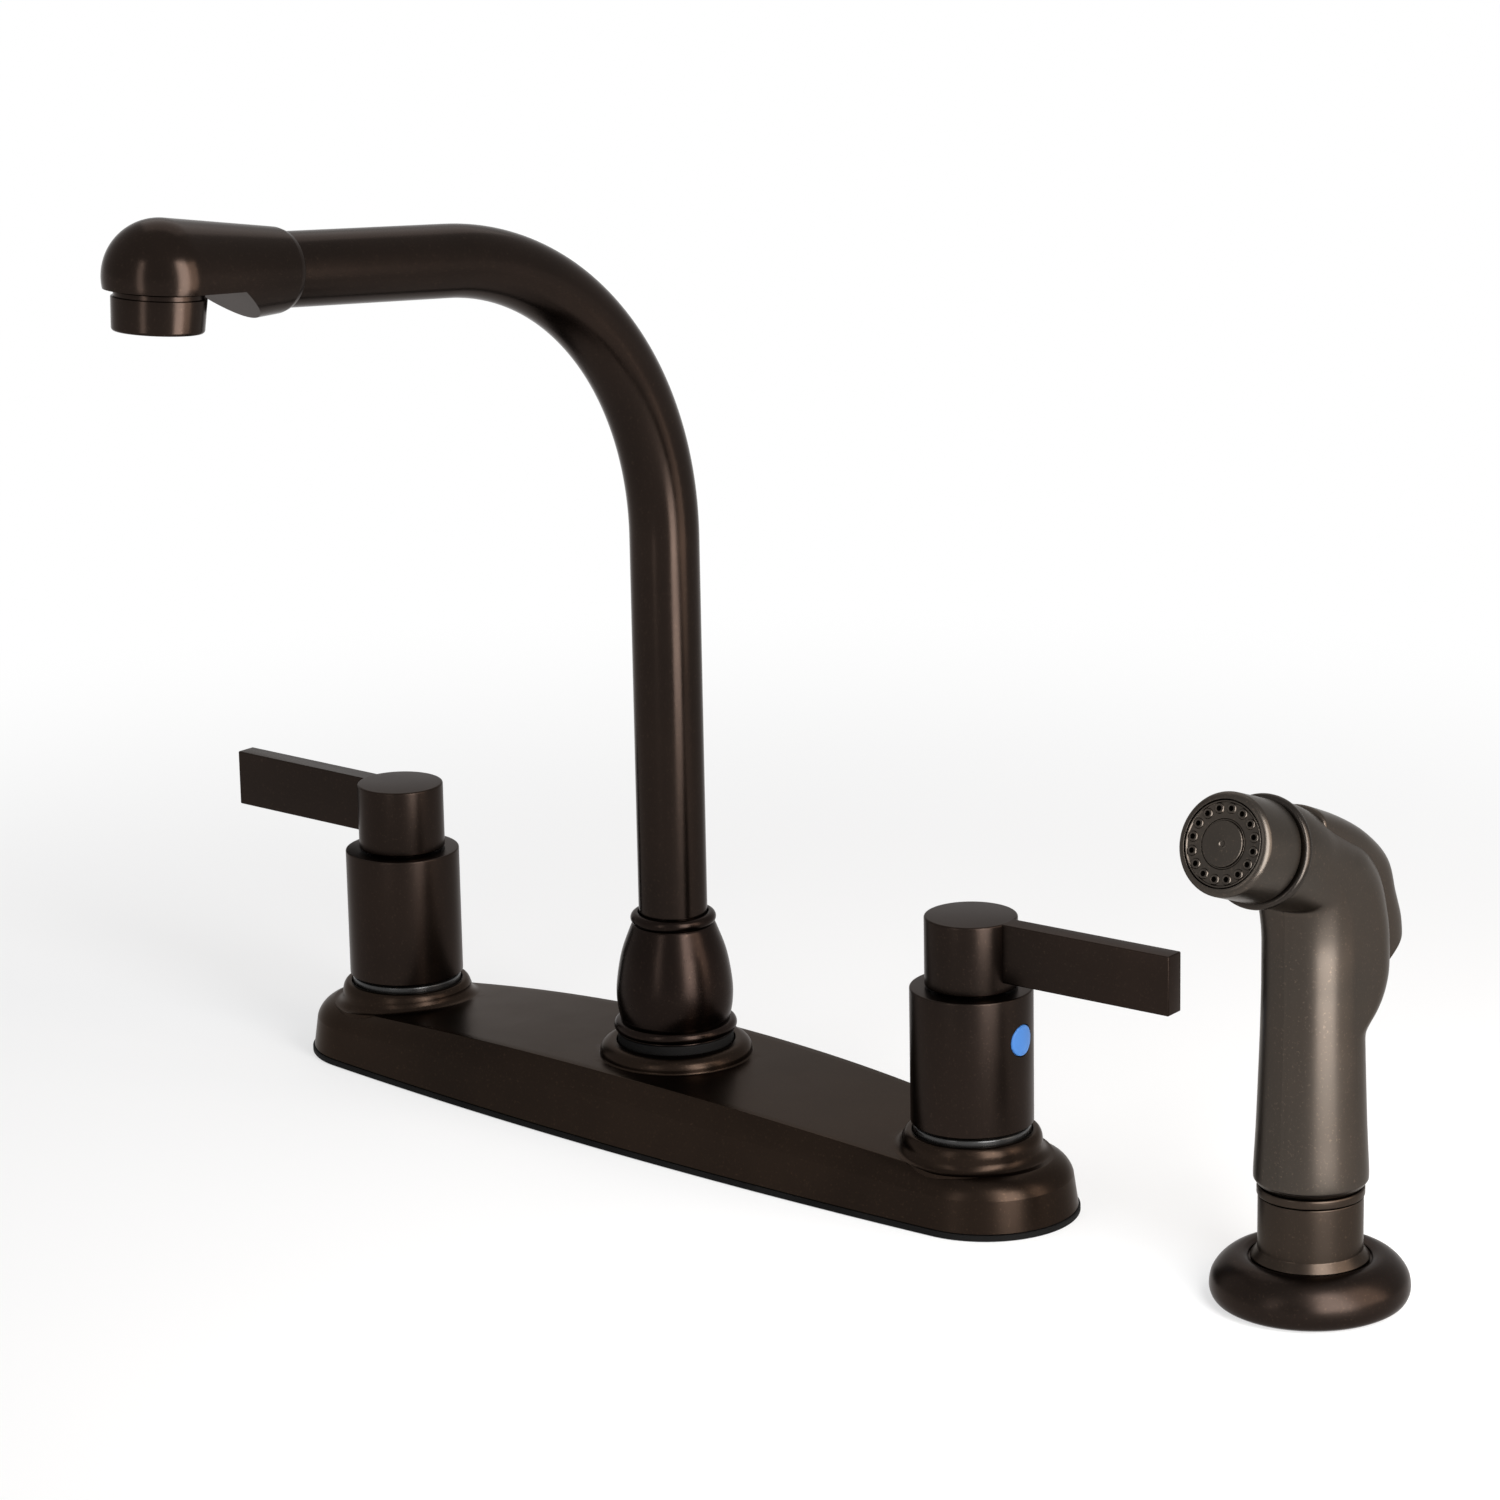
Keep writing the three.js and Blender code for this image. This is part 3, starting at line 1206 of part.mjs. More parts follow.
function sprayHolder() {
  const bore = LINER_RADIUS + SEAT;
  const flare = HOLDER_FOOT_RADIUS - HOLDER_RADIUS;
  return turned(
    [
      [HOLDER_BORE, -HOLDER_SHANK_DEPTH],
      [HOLDER_SHANK_RADIUS, -HOLDER_SHANK_DEPTH],
      [HOLDER_SHANK_RADIUS, HOLDER_FOOT_LOW],
      [HOLDER_FOOT_RADIUS, HOLDER_FOOT_LOW],
      [HOLDER_FOOT_RADIUS - flare * HOLDER_FLARE, HOLDER_FOOT_LOW + HOLDER_FLARE_ROUND],
      [HOLDER_RADIUS + flare * HOLDER_FLARE, HOLDER_FOOT_TOP - HOLDER_FLARE_ROUND],
      [HOLDER_RADIUS, HOLDER_FOOT_TOP],
      [HOLDER_RADIUS, HOLDER_TOP],
      [bore, HOLDER_TOP],
      [bore, LINER_LOW - SEAT],
      [HOLDER_BORE, LINER_LOW - SEAT],
    ],
    FINE,
  );
}

const holderLiner = () =>
  turned(
    [
      [LINER_BORE, LINER_LOW],
      [LINER_RADIUS, LINER_LOW],
      [LINER_RADIUS, LINER_LIP_LOW],
      [LINER_LIP_RADIUS, LINER_LIP_LOW],
      [LINER_LIP_RADIUS, LINER_TOP - LINER_LIP_EDGE],
      [LINER_LIP_RADIUS - LINER_LIP_EDGE, LINER_TOP],
      [LINER_BORE, LINER_TOP],
    ],
    FINE,
  );

function holderNut() {
  const top = UNDERSIDE - MOUNTING_WASHER_THICKNESS - SEAT;
  return ring(HOLDER_SHANK_RADIUS + SEAT, HOLDER_NUT_RADIUS, top - HOLDER_NUT_HEIGHT, top, FINE);
}

// ----------------------------------------------------------------------------------------------------
// Hose coupling: it hangs in the liner, and the wand turns on its spigot

const SPIGOT_LOW = WAND_BASE - SEAT;
const SPIGOT_TOP = WAND_BASE + COUPLING_SPIGOT_HEIGHT;
const COUPLING_GROOVE = COUPLING_SPIGOT_RADIUS - 2 * COUPLING_SEAL_SECTION - COUPLING_SEAL_PLAY;
const COUPLING_SEAL_HEIGHT = WAND_BASE + COUPLING_SPIGOT_HEIGHT / 2;

function hoseCoupling() {
  const groove = COUPLING_SEAL_SECTION + COUPLING_GROOVE_PLAY;
  return turned(
    [
      [COUPLING_BORE, COUPLING_LOW - HOSE_INLET_LENGTH],
      [HOSE_INLET_RADIUS, COUPLING_LOW - HOSE_INLET_LENGTH],
      [HOSE_INLET_RADIUS, COUPLING_LOW],
      [COUPLING_RADIUS, COUPLING_LOW],
      [COUPLING_RADIUS, SPIGOT_LOW],
      [COUPLING_SPIGOT_RADIUS, SPIGOT_LOW],
      [COUPLING_SPIGOT_RADIUS, COUPLING_SEAL_HEIGHT - groove],
      [COUPLING_GROOVE, COUPLING_SEAL_HEIGHT - groove],
      [COUPLING_GROOVE, COUPLING_SEAL_HEIGHT + groove],
      [COUPLING_SPIGOT_RADIUS, COUPLING_SEAL_HEIGHT + groove],
      [COUPLING_SPIGOT_RADIUS, SPIGOT_TOP],
      [COUPLING_BORE, SPIGOT_TOP],
    ],
    PLAIN,
  );
}

function couplingSeal() {
  const centre = COUPLING_GROOVE + COUPLING_SEAL_PLAY + COUPLING_SEAL_SECTION;
  return turned(arc(centre, COUPLING_SEAL_HEIGHT, COUPLING_SEAL_SECTION, 0, 360, TINY).slice(0, -1), PLAIN);
}

// ----------------------------------------------------------------------------------------------------
// Wand

const ELBOW_TANGENT = ELBOW_RADIUS * Math.tan((NOZZLE_TURN / 2) * DEGREE);
const ELBOW_LOW = NOZZLE_CROSSING - ELBOW_TANGENT;
const HALF_RING = 6;
const PIVOT_HEIGHT = NOZZLE_CROSSING + PIVOT[1];
const VALVE_HEIGHT = NOZZLE_CROSSING + VALVE;

// One section: a circle of the half width, drawn out to the back. It lies across the wand's centre line.
function wandSection({ low, turn, beyond = 0 }, halfWidth, back) {
  const [sin, cos] = [Math.sin(turn * DEGREE), Math.cos(turn * DEGREE)];
  const place = ([x, q]) => {
    const y = -ELBOW_RADIUS + (ELBOW_RADIUS + q) * cos - beyond * sin;
    return [x, y, low + (ELBOW_RADIUS + q) * sin + beyond * cos];
  };
  const front = arc(0, 0, halfWidth, 180, 360, HALF_RING);
  const rear = arc(0, back - halfWidth, halfWidth, 0, 180, HALF_RING);
  const rim = [...front, ...rear];
  return { rim: rim.map(place), middle: rim.map(() => place([0, 0])) };
}

function wandForm() {
  const grip = WAND_GRIP.map(([low, half, back]) => wandSection({ low, turn: 0 }, half, back));
  const bulge = WAND_BULGE.map(([drop, half, back]) =>
    wandSection({ low: ELBOW_LOW - drop, turn: 0 }, half, back),
  );
  const elbow = WAND_ELBOW.map(([share, half, back]) =>
    wandSection({ low: ELBOW_LOW, turn: share * NOZZLE_TURN }, half, back),
  );
  const [, lastHalf, lastBack] = WAND_ELBOW.at(-1);
  const beyond = BODY_END - ELBOW_TANGENT;
  const end = wandSection({ low: ELBOW_LOW, turn: NOZZLE_TURN, beyond }, lastHalf, lastBack);
  const rings = [...grip, ...bulge, ...elbow, end];
  return loft([rings[0].middle, ...rings.map((section) => section.rim), end.middle]);
}

// From the nozzle's own frame, with Z along its axis, to the wand's.
const onNozzle = (body) => body.rotate([NOZZLE_TURN, 0, 0]).translate([0, 0, NOZZLE_CROSSING]);

// From a frame with Z towards the back to the valve's place in the wand.
const onValve = (body) => body.rotate([-90, 0, 0]).translate([0, 0, VALVE_HEIGHT]);

const pivotRod = (radius, half, sides) =>
  rod(radius, -half, half, sides).rotate([0, 90, 0]).translate([0, PIVOT[0], PIVOT_HEIGHT]);

// The lever's form, with a flat inner side and half an ellipse outside, grown by a clearance on all sides.
function triggerForm(clearance) {
  const half = TRIGGER_HALF_WIDTH + clearance;
  const rings = TRIGGER.map(([innerY, innerZ, outerY, outerZ], i) => {
    const depth = Math.hypot(outerY - innerY, outerZ - innerZ);
    const out = [(outerY - innerY) / depth, (outerZ - innerZ) / depth];
    const beyond = i === 0 ? clearance : i === TRIGGER.length - 1 ? -clearance : 0;
    const y = innerY - out[0] * clearance - out[1] * beyond;
    const z = NOZZLE_CROSSING + innerZ - out[1] * clearance + out[0] * beyond;
    return arc(0, 0, 1, -90, 90, TRIGGER_SIDES).map(([cos, sin]) => {
      const reach = (depth + 2 * clearance) * cos;
      return [half * sin, y + out[0] * reach, z + out[1] * reach];
    });
  });
  const middle = (ring) => {
    const mean = [0, 1, 2].map((axis) => ring.reduce((sum, point) => sum + point[axis], 0) / ring.length);
    return ring.map(() => mean);
  };
  return loft([middle(rings[0]), ...rings, middle(rings.at(-1))]);
}

function triggerLever() {
  const ear = pivotRod(PIVOT_EAR_RADIUS, PIVOT_EAR_HALF, PLAIN);
  const pinHole = pivotRod(PIVOT_PIN_RADIUS + SEAT, TRIGGER_HALF_WIDTH + 1, SMALL);
  return join(triggerForm(0), ear).subtract(pinHole);
}

// The room that the lever needs in the wand, at rest and at the end of its travel.
function triggerPocket() {
  const around = triggerForm(TRIGGER_CLEARANCE);
  const ear = pivotRod(PIVOT_EAR_RADIUS + TRIGGER_CLEARANCE, PIVOT_EAR_HALF + TRIGGER_CLEARANCE, PLAIN);
  const swept = [0, TRIGGER_TRAVEL].map((angle) =>
    around
      .translate([0, -PIVOT[0], -PIVOT_HEIGHT])
      .rotate([-angle, 0, 0])
      .translate([0, PIVOT[0], PIVOT_HEIGHT]),
  );
  return join(ear, ...swept);
}

function wandBody() {
  const spigotEnd = BODY_END + SPIGOT_LENGTH;
  const spigot = onNozzle(rod(SPIGOT_RADIUS, BODY_END - SPIGOT_ROOT, spigotEnd, FINE));
  const spigotBore = onNozzle(rod(SPIGOT_BORE, BODY_END - SPIGOT_FLOOR, spigotEnd + 1));
  const couplingSocket = rod(COUPLING_SPIGOT_RADIUS + SEAT, WAND_BASE - 1, SPIGOT_TOP + SEAT);
  const riserTop = NOZZLE_CROSSING - PASSAGE_START;
  const riser = rod(WATERWAY_BORE, SPIGOT_TOP - 1, riserTop, SMALL).translate([0, -WATERWAY_OFFSET, 0]);
  const alongNozzle = rod(WATERWAY_BORE, PASSAGE_START, BODY_END, SMALL);
  const passage = onNozzle(alongNozzle.translate([0, -NOZZLE_PASSAGE_OFFSET, 0]));
  const chamber = onValve(rod(VALVE_CHAMBER_RADIUS, ...VALVE_CHAMBER));
  const plungerBore = onValve(rod(PLUNGER_RADIUS + SEAT, 0, PLUNGER_TIP, PLAIN));
  const pinHole = pivotRod(PIVOT_PIN_RADIUS + SEAT, PIVOT_PIN_HALF + SEAT, SMALL);
  return cut(
    join(wandForm(), spigot),
    triggerPocket(),
    couplingSocket,
    riser,
    passage,
    spigotBore,
    chamber,
    plungerBore,
    pinHole,
  );
}

const FLANGE_LOW = BODY_END + SEAT;
const CAP_LOW = FLANGE_LOW + FLANGE_THICKNESS + SEAT;
const CAP_TOP = CAP_LOW + CAP_LENGTH;
const FACE_TOP = CAP_TOP - FACE_RECESS;
const FACE_LOW = FACE_TOP - FACE_THICKNESS;
const CAP_MOUTH = CAP_RADIUS - CAP_RIM;

function flangeRing() {
  const bore = SPIGOT_RADIUS + SEAT;
  const round = FLANGE_RADIUS - FLANGE_ROUND;
  const top = FLANGE_LOW + FLANGE_THICKNESS;
  return turned([
    [bore, FLANGE_LOW],
    ...arc(round, FLANGE_LOW + FLANGE_ROUND, FLANGE_ROUND, -90, 0, 1),
    ...arc(round, top - FLANGE_ROUND, FLANGE_ROUND, 0, 90, 1),
    [bore, top],
  ]);
}

function nozzleCap() {
  const bore = SPIGOT_RADIUS + SEAT;
  return turned([
    [bore, CAP_LOW],
    [CAP_RADIUS, CAP_LOW],
    ...arc(CAP_RADIUS - CAP_ROUND, CAP_TOP - CAP_ROUND, CAP_ROUND, 0, 90, 2),
    [CAP_MOUTH, CAP_TOP],
    [CAP_MOUTH, FACE_LOW - SEAT],
    [bore, FACE_LOW - SEAT],
  ]);
}

function nozzleFace() {
  const disc = turned([
    [0, FACE_LOW],
    [CAP_MOUTH - SEAT, FACE_LOW],
    [CAP_MOUTH - SEAT, FACE_TOP],
    [FACE_DISC_RADIUS + FACE_DISC_RISE, FACE_TOP],
    [FACE_DISC_RADIUS, FACE_TOP + FACE_DISC_RISE],
    [0, FACE_TOP + FACE_DISC_RISE],
  ]);
  const hole = rod(SPRAY_HOLE_RADIUS, FACE_LOW - 1, FACE_TOP + 1, TINY).translate([SPRAY_HOLE_CIRCLE, 0, 0]);
  return cut(disc, ...aroundZ(hole.rotate([0, 0, SPRAY_HOLE_TURN]), SPRAY_HOLES));
}

function valvePlunger() {
  const shoulderTop = VALVE_CHAMBER[1] - SEAT;
  const shoulderLow = shoulderTop - PLUNGER_SHOULDER;
  const tail = VALVE_CHAMBER[0] + PLUNGER_TAIL;
  const [inset, slope] = PLUNGER_ROUND;
  return onValve(
    turned(
      [
        [0, tail],
        [PLUNGER_RADIUS, tail],
        [PLUNGER_RADIUS, shoulderLow],
        [PLUNGER_SHOULDER_RADIUS, shoulderLow],
        [PLUNGER_SHOULDER_RADIUS, shoulderTop],
        [PLUNGER_RADIUS, shoulderTop],
        [PLUNGER_RADIUS, PLUNGER_TIP - slope],
        [PLUNGER_RADIUS - inset, PLUNGER_TIP],
        [0, PLUNGER_TIP],
      ],
      PLAIN,
    ),
  );
}

const PLUNGER_ARM = PIVOT_HEIGHT - VALVE_HEIGHT; // from the lever's pivot to the plunger

// The valve's spring presses on the plunger's shoulder, and leaves the plunger's travel free in front.
class SpringPath extends THREE.Curve {
  getPoint(share) {
    const travel = PLUNGER_ARM * TRIGGER_TRAVEL * DEGREE;
    const low = VALVE_CHAMBER[0] + SEAT + travel + SPRING_WIRE;
    const high = VALVE_CHAMBER[1] - PLUNGER_SHOULDER - 2 * SEAT - SPRING_WIRE;
    const angle = share * SPRING_TURNS * 2 * Math.PI;
    const radius = PLUNGER_RADIUS + SEAT + SPRING_WIRE;
    return new THREE.Vector3(radius * Math.cos(angle), radius * Math.sin(angle), low + (high - low) * share);
  }
}

function valveSpring() {
  const wire = new THREE.Shape(vectors(circle(SPRING_WIRE, TINY)));
  const options = { steps: SPRING_TURNS * SPRING_STEPS, extrudePath: new SpringPath() };
  return onValve(solid(new THREE.ExtrudeGeometry(wire, options)));
}

function sprayer() {
  const nozzle = [
    piece("nozzle_flange_ring", flangeRing(), "darkPlastic"),
    piece("nozzle_cap", nozzleCap(), "sprayBronze"),
    piece("nozzle_face", nozzleFace(), "sprayBronze"),
  ];
  const wand = [
    piece("wand_body", wandBody(), "sprayBronze"),
    piece("spray_trigger", triggerLever(), "sprayBronze"),
    piece("trigger_pin", pivotRod(PIVOT_PIN_RADIUS, PIVOT_PIN_HALF, SMALL), "steel"),
    piece("valve_plunger", valvePlunger(), "plastic"),
    piece("valve_spring", valveSpring(), "steel"),
    group(nozzle, { position: [0, 0, NOZZLE_CROSSING], turn: [NOZZLE_TURN, 0, 0] }),
  ];
  const bore = HOLDER_SHANK_RADIUS + SEAT;
  const pieces = [
    piece("holder_escutcheon", escutcheon(), "plateBronze"),
    piece("spray_holder", sprayHolder(), "sprayBronze"),
    piece("holder_liner", holderLiner(), "sprayBronze"),
    piece("holder_washer", mountingWasher(bore, FINE), "steel"),
    piece("holder_nut", holderNut(), "plastic"),
    piece("hose_coupling", hoseCoupling(), "brass"),
    piece("coupling_seal", couplingSeal(), "rubber"),
    group(wand, { turn: [0, 0, WAND_SWING] }),
  ];
  return group(pieces, { position: [SPRAYER_X, 0, 0] });
}

// ----------------------------------------------------------------------------------------------------
// The whole faucet

const faucet = group([
  piece("deck_plate", deckPlate(), "plateBronze"),
  piece("base_gasket", gasket(), "rubber"),
  piece("waterway_body", waterwayBody(), "brass"),
  piece("spout_nut", spoutNut(), "bronze"),
  piece("spout_bushing", bushing(), "plastic"),
  piece("spout_seat_washer", seatWasher(), "rubber"),
  piece("diverter_body", diverterBody(), "plastic"),
  piece("diverter_poppet", diverterPoppet(), "plastic"),
  handleSide("hot", -HANDLE_X, "red"),
  handleSide("cold", HANDLE_X, "blue"),
  underDeck("hot", -HANDLE_X),
  underDeck("cold", HANDLE_X),
  spout(),
  sprayer(),
]);
faucet.name = "two_handle_kitchen_faucet";

export default faucet;
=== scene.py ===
"""The looks of a two handle kitchen faucet with a side sprayer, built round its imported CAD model.

Shapes are written in millimetres in the frame of the CAD model: Z up, the origin on the spout's axis at the
deck.
"""

import json
import math

import bmesh
import bpy
from mathutils import Matrix, Vector


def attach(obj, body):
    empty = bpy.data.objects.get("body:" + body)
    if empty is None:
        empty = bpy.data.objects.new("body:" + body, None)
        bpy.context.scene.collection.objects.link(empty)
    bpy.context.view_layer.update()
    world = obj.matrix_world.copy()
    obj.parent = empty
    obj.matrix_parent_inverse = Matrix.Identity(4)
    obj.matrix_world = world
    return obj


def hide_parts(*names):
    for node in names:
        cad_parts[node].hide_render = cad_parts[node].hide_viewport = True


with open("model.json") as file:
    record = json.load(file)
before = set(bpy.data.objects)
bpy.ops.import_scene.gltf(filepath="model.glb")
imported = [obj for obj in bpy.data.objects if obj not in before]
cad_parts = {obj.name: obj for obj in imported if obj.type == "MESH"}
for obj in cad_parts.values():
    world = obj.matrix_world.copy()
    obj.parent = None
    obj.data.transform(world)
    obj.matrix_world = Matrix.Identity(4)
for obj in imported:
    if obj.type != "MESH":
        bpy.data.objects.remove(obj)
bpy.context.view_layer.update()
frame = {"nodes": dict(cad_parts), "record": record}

MM = 0.001
ROUND = 144  # sides of a round piece
BUTTON_SIDES = 96
ROD_SIDES = 64
SMALL = 32  # sides of a small hole
SEAT = 0.3  # gap between two pieces that meet
PAST = 1  # how far a cutter reaches past what it cuts
SHARP = 30  # an edge that turns by more degrees than this is shaded sharp
CORNER = 40  # an edge that turns by more degrees than this is bevelled
FILLET_STEP = 15  # degrees to a facet of a fillet
FILLET_SHARE = 0.48  # how much of a side one fillet may take
ON_AXIS = 1e-6  # a radius below this is on the axis
WELD = 1e-7  # points nearer than this, in metres, are one

# ----------------------------------------------------------------------------
# Sizes. Most are the CAD model's own. Those of the spout head's seam and bore, the bosses' coves, the
# escutcheon, the holder's foot, the nozzle's face and the trigger are nearer to the photograph.

HANDLE_X = 101.6
SPRAYER_X = 206.4
SPOUT_SWING = -1.2
WAND_SWING = 2.4
LEVER_SWING = {"hot": 1.8, "cold": 4.8}

GASKET_THICKNESS = 1.5
GASKET_RIM = 7
PLATE_END_X = 105.8
PLATE_END_RADIUS = 24.1
PLATE_HALF_WIDTH = 28.4
PLATE_INSET = 0.5
PLATE_TOP = 20.4
PLATE_CROWN_RADIUS = 1000
PLATE_WALL = 2.2
PLATE_WALL_LINE = 14
PLATE_WALL_LINE_DROP = 4
PLATE_DRAFT = 1.2
PLATE_BEVEL = 2.5
PLATE_BEVEL_LINEAR = 1.3
PLATE_BEVEL_END = 2.2
PLATE_SWELL = (-1.3, 1.1)  # what the bevel's middle gains in inset and height at the plate's ends
PLATE_SWELL_STEPS = 12
PLATE_TOP_STEPS = 10

BOSS_RADIUS = 17.9
BOSS_RISE = 5.8
BOSS_COVE = 2.4
BOSS_LIP = 0.9
BOSS_RECESS = 1.4
BOSS_SUNK = 1.9  # how far a boss starts below the plate's top
BOSS_COVE_SUNK = 0.03
BOSS_FLARE_DEPTH = 3
BOSS_FLARE_TURN = 80
HUB_BOSS_RADIUS = 20.3
HUB_BOSS_COVE = 0.5
HUB_BOSS_RISE = 3.9
HUB_BOSS_RECESS = 1.6
NECK_RADIUS = 12.2
WASHER_RADIUS = 15.4
PLATE_NUT_WIDTH = 2.5
PLATE_NUT_HEIGHT = 2.6

SLEEVE_RADIUS = 15.7
SLEEVE_HEIGHT = 35.95
SLEEVE_WALL = 1.9
SLEEVE_CHAMFER = 0.6
SLEEVE_TOP_PLATE = 2.5
BUTTON_RADIUS = 4
BUTTON_DROP = 11.65
BUTTON_AZIMUTH = 3.5
BUTTON_PROUD = 0.2
BUTTON_GAP = 0.25
BUTTON_RIM = 0.35
BUTTON_DOME = 0.12
BUTTON_DEPTH = 1.4
HANDLE_GAP = 0.55
HUB_RADIUS = 11.85
HUB_HEIGHT = 18.1
SKIRT_RADIUS = 8.7
SKIRT_DEPTH = 14.3
LEVER_THICKNESS = 5.8
LEVER_HEIGHT = 15.4
LEVER_REACH = 60.3
LEVER_EDGE = 0.38
LEVER_SUNK = 0.02
STEM_BORE = 4.3
SOCKET_CROWN = 6.4
SCREW_RADIUS = 2.1
SCREW_DROP = 11.4

TUBE_RADIUS = 9.1
TUBE_BORE = 8
TUBE_LOW = 46.6
TUBE_RINGS = (60, 95, 130)
BEND_RADIUS = 83
BEND_ANGLE = 84.35
BEND_START = 160.8
BEND_STEPS = 72
HEAD_SEAM = 55
HEAD_SOCKET = 8.8
HEAD_START_RADIUS = 10.53
HEAD_SHOULDER = 4
HEAD_SLOPE = 0.0935
DOME_RADIUS = 13.6
DOME_STATION = 92.4
HEAD_FLAT = 3.2
NOTCH_BACK = 16.7
NOTCH_SLOPE = 32.9
HEAD_BORE = 4
HEAD_BORE_RISE = 2.2
NUT_LOW = 26.8
NUT_RING_RADIUS = 16.35
NUT_RING_HEIGHT = 3.3
NUT_BULB_RADIUS = 15.46
NUT_BEAD_RADIUS = 11.35
NUT_HEIGHT = 32.7
BEAD_HALF_HEIGHT = 1.6

AERATOR_RADIUS = 11.3
AERATOR_TAPER = 0.4
AERATOR_HEIGHT = 8.15
AERATOR_COLLAR = 10.7
AERATOR_COLLAR_HEIGHT = 1.25
AERATOR_THREAD = 9.5
AERATOR_THREAD_HEIGHT = 5
AERATOR_BORE = 8.6
AERATOR_LIP = 1.3

ESCUTCHEON_RADIUS = 24.3
ESCUTCHEON_HEIGHT = 12.1
ESCUTCHEON_RIM = 3
HOLDER_RADIUS = 12.75
HOLDER_FOOT_RADIUS = 14.4
HOLDER_FOOT_LOW = 11.2
HOLDER_FOOT_TOP = 13.7
HOLDER_TOP = 27.2
HOLDER_SHANK_RADIUS = 12.3
HOLDER_SHANK_DEPTH = 38
HOLDER_BORE = 10
LINER_RADIUS = 11
LINER_WALL = 1.4
LINER_LIP_RADIUS = 13.05
LINER_LIP_HEIGHT = 2.2
LINER_LOW = 14.3

ELBOW_RADIUS = 29
NOZZLE_TURN = 70.25
NOZZLE_CROSSING = 109.85
BODY_END = 23
FLANGE_RADIUS = 13.7
FLANGE_THICKNESS = 2.6
FLANGE_ROUND = 1
SPIGOT_RADIUS = 8.7
CAP_RADIUS = 12.4
CAP_LENGTH = 15.1
CAP_RIM = 1.9
CAP_ROUND = 1.8
FACE_RECESS = 0.1
FACE_THICKNESS = 2.6
FACE_DISC_RADIUS = 5.5
SPRAY_HOLES = 16
SPRAY_HOLE_CIRCLE = 8.4
SPRAY_HOLE_TURN = 8.2
SPIGOT_LENGTH = 9.7
SPIGOT_BORE = 6.5
SPIGOT_BORE_DEPTH = 4.3

WAND_GRIP = [  # height above the sink deck, half width, reach of the back
    (30, 12.6, 12.6),
    (31.2, 13.6, 13.6),
    (33, 13.9, 13.9),
    (43, 13.4, 13.4),
    (50, 13.12, 13.12),
    (57, 12.87, 12.87),
]
WAND_BULGE = [  # distance below the elbow, half width, reach of the back
    (25.45, 12.64, 12.64),
    (22, 12.54, 12.7),
    (20.05, 12.49, 13.9),
    (16.75, 12.42, 18.2),
    (13.45, 12.36, 21),
    (9.45, 12.3, 22.7),
    (5.45, 12.3, 23.1),
]
WAND_ELBOW = [  # share of the elbow's turn, half width, reach of the back
    (0, 12.3, 22.9),
    (0.14, 12.3, 22),
    (0.28, 12.35, 21.1),
    (0.42, 12.4, 18.8),
    (0.57, 12.5, 15.2),
    (0.71, 12.6, 13.2),
    (0.85, 12.7, 12.8),
    (1, 12.8, 12.8),
]
TRIGGER = [  # from the tip to the foot: y and z of the flat inner side, then of the rounded outer side
    (-9, 9.15, -5.9, 15.85),
    (1, 3.35, 5.5, 11.1),
    (9.5, -2.35, 16.2, 5.25),
    (14.8, -8.85, 25.3, -2.4),
    (17.2, -14.85, 28.8, -11.2),
    (18.3, -19.85, 31.6, -17.5),
    (19.2, -26.3, 32.3, -20.4),
    (19.4, -28.6, 32.3, -21.6),
]
TRIGGER_HALF_WIDTH = 8.2
TRIGGER_SQUARENESS = 0.6  # 1 is an elliptical section, less has flatter sides
TRIGGER_EDGE = 0.8
TRIGGER_CLEARANCE = 0.4
TRIGGER_TRAVEL = 4
PIVOT = (-9, 6.35)
PIVOT_PIN_RADIUS = 1.5
PIVOT_PIN_HALF = 10.5
PIVOT_EAR_RADIUS = 3.4
PIVOT_EAR_HALF = 7
VALVE = -23.85
VALVE_CHAMBER = (-6.5, 11.5)
VALVE_CHAMBER_RADIUS = 5.2
PLUNGER_RADIUS = 3
PLUNGER_TIP = 18.2
COUPLING_SPIGOT_RADIUS = 7.5
COUPLING_SPIGOT_HEIGHT = 8

# ----------------------------------------------------------------------------
# Meshes


def rotation(axis, degrees):
    return Matrix.Rotation(math.radians(degrees), 4, axis)


def shift(x, y, z):
    return Matrix.Translation((x, y, z))


def turn_arc(centre, radius, start, end, steps):
    """Points on an arc, from one angle in degrees to another."""
    angles = [math.radians(start + (end - start) * i / steps) for i in range(steps + 1)]
    return [(centre[0] + radius * math.cos(a), centre[1] + radius * math.sin(a)) for a in angles]


def circle(radius, sides):
    angles = [2 * math.pi * i / sides for i in range(sides)]
    return [(radius * math.cos(a), radius * math.sin(a)) for a in angles]


def rounded(points, closed=False, steps=None):
    """A profile of (radius, height) or (radius, height, fillet): corners with a fillet are rounded."""
    made = []
    count = len(points)
    for i, point in enumerate(points):
        ends = not closed and i in (0, count - 1)
        if len(point) < 3 or ends:
            made.append(tuple(point[:2]))
            continue
        before, corner, after = (Vector(points[(i + k) % count][:2]) for k in (-1, 0, 1))
        u, v = before - corner, after - corner
        half = u.angle(v) / 2
        reach = min(point[2] / math.tan(half), FILLET_SHARE * u.length, FILLET_SHARE * v.length)
        u.normalize()
        v.normalize()
        centre = corner + (u + v).normalized() * (reach / math.cos(half))
        start, end = corner + u * reach - centre, corner + v * reach - centre
        first = math.atan2(start.y, start.x)
        sweep = (math.atan2(end.y, end.x) - first + math.pi) % (2 * math.pi) - math.pi
        radius = start.length
        pieces = steps or max(2, math.ceil(abs(sweep) / math.radians(FILLET_STEP)))
        for k in range(pieces + 1):
            angle = first + sweep * k / pieces
            made.append((centre.x + radius * math.cos(angle), centre.y + radius * math.sin(angle)))
    return made


